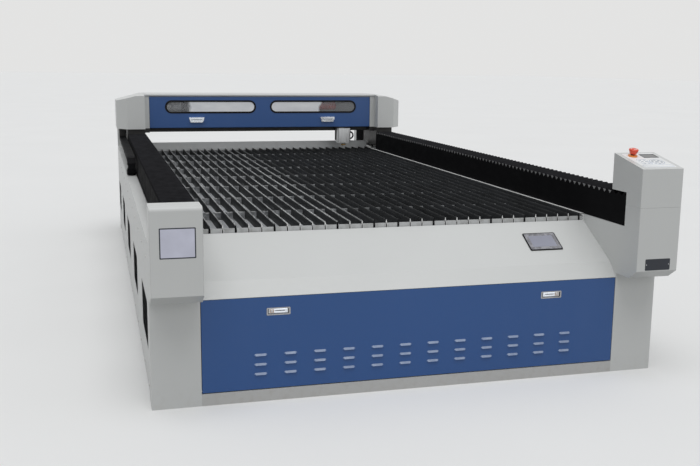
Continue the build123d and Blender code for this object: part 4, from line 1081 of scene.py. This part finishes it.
ground = surface("studio_ground", Roughness=0.9, Specular_IOR_Level=0.1)
soft = ground.noise(0.7, 2.0)
pale = ground.mix(soft.ramp(0.3, 0.7), (0.825, 0.825, 0.815), (0.84, 0.84, 0.83))
ground.set(Base_Color=ground.mix(looked_at(ground), (0.40, 0.40, 0.39), pale))
floor_form = Form()
floor_form.add([(-60, -60, 0), (60, -60, 0), (60, 120, 0), (-60, 120, 0)], [(0, 1, 2, 3)])
piece("studio_floor", floor_form, ground.owner, None)

# Studio air: soft light from all round, and a pale backdrop for what looks past the floor
world = bpy.data.worlds.new("studio_air")
scene.world = world
air = Shader(world)
air.tree.nodes.remove(air.tree.nodes["Background"])
light = air.node("Background", inputs={"Color": (0.95, 0.97, 1.0), "Strength": 0.50})
backdrop = air.node("Background", inputs={"Color": (0.77, 0.77, 0.765), "Strength": 1.0})
both = air.node("MixShader", inputs={0: looked_at(air), 1: light, 2: backdrop})
air.put(air.tree.nodes["World Output"].inputs["Surface"], both)


def sun(name, direction, strength, spread):
    """Soft distant light, so the floor is as bright far away as near."""
    light = bpy.data.lights.new(name, "SUN")
    light.energy, light.angle = strength, math.radians(spread)
    thing = bpy.data.objects.new(name, light)
    thing.rotation_euler = Vector(direction).to_track_quat("-Z", "Y").to_euler()
    scene.collection.objects.link(thing)


sun("roof_light", (0.08, 0.30, -1.0), 1.35, 50)
sun("front_fill", (-0.25, 0.95, -0.30), 0.28, 40)

# Camera at the height, place and turn that the fit of the photograph gives
EYE_PLACE, LENS_LENGTH, SENSOR_WIDTH = (-1.2425, -5.4494, 1.3052), 47.55, 36.0
YAW, PITCH, ROLL = (math.radians(angle) for angle in (15.4, 10.3, -0.6))
ahead = Vector((math.sin(YAW) * math.cos(PITCH), math.cos(YAW) * math.cos(PITCH), -math.sin(PITCH)))
across = Vector((math.cos(YAW), -math.sin(YAW), 0))
down = ahead.cross(across)
right = math.cos(ROLL) * across + math.sin(ROLL) * down
under = -math.sin(ROLL) * across + math.cos(ROLL) * down
eye = bpy.data.cameras.new("camera")
eye.lens, eye.sensor_width, eye.sensor_fit = LENS_LENGTH, SENSOR_WIDTH, "HORIZONTAL"
eye.clip_end = 300
camera = bpy.data.objects.new("camera", eye)
turned = Matrix((right, -under, -ahead)).transposed().to_4x4()
camera.matrix_world = Matrix.Translation(EYE_PLACE) @ turned
scene.collection.objects.link(camera)
scene.camera = camera
scene.view_settings.view_transform = "Standard"

bpy.context.view_layer.update()
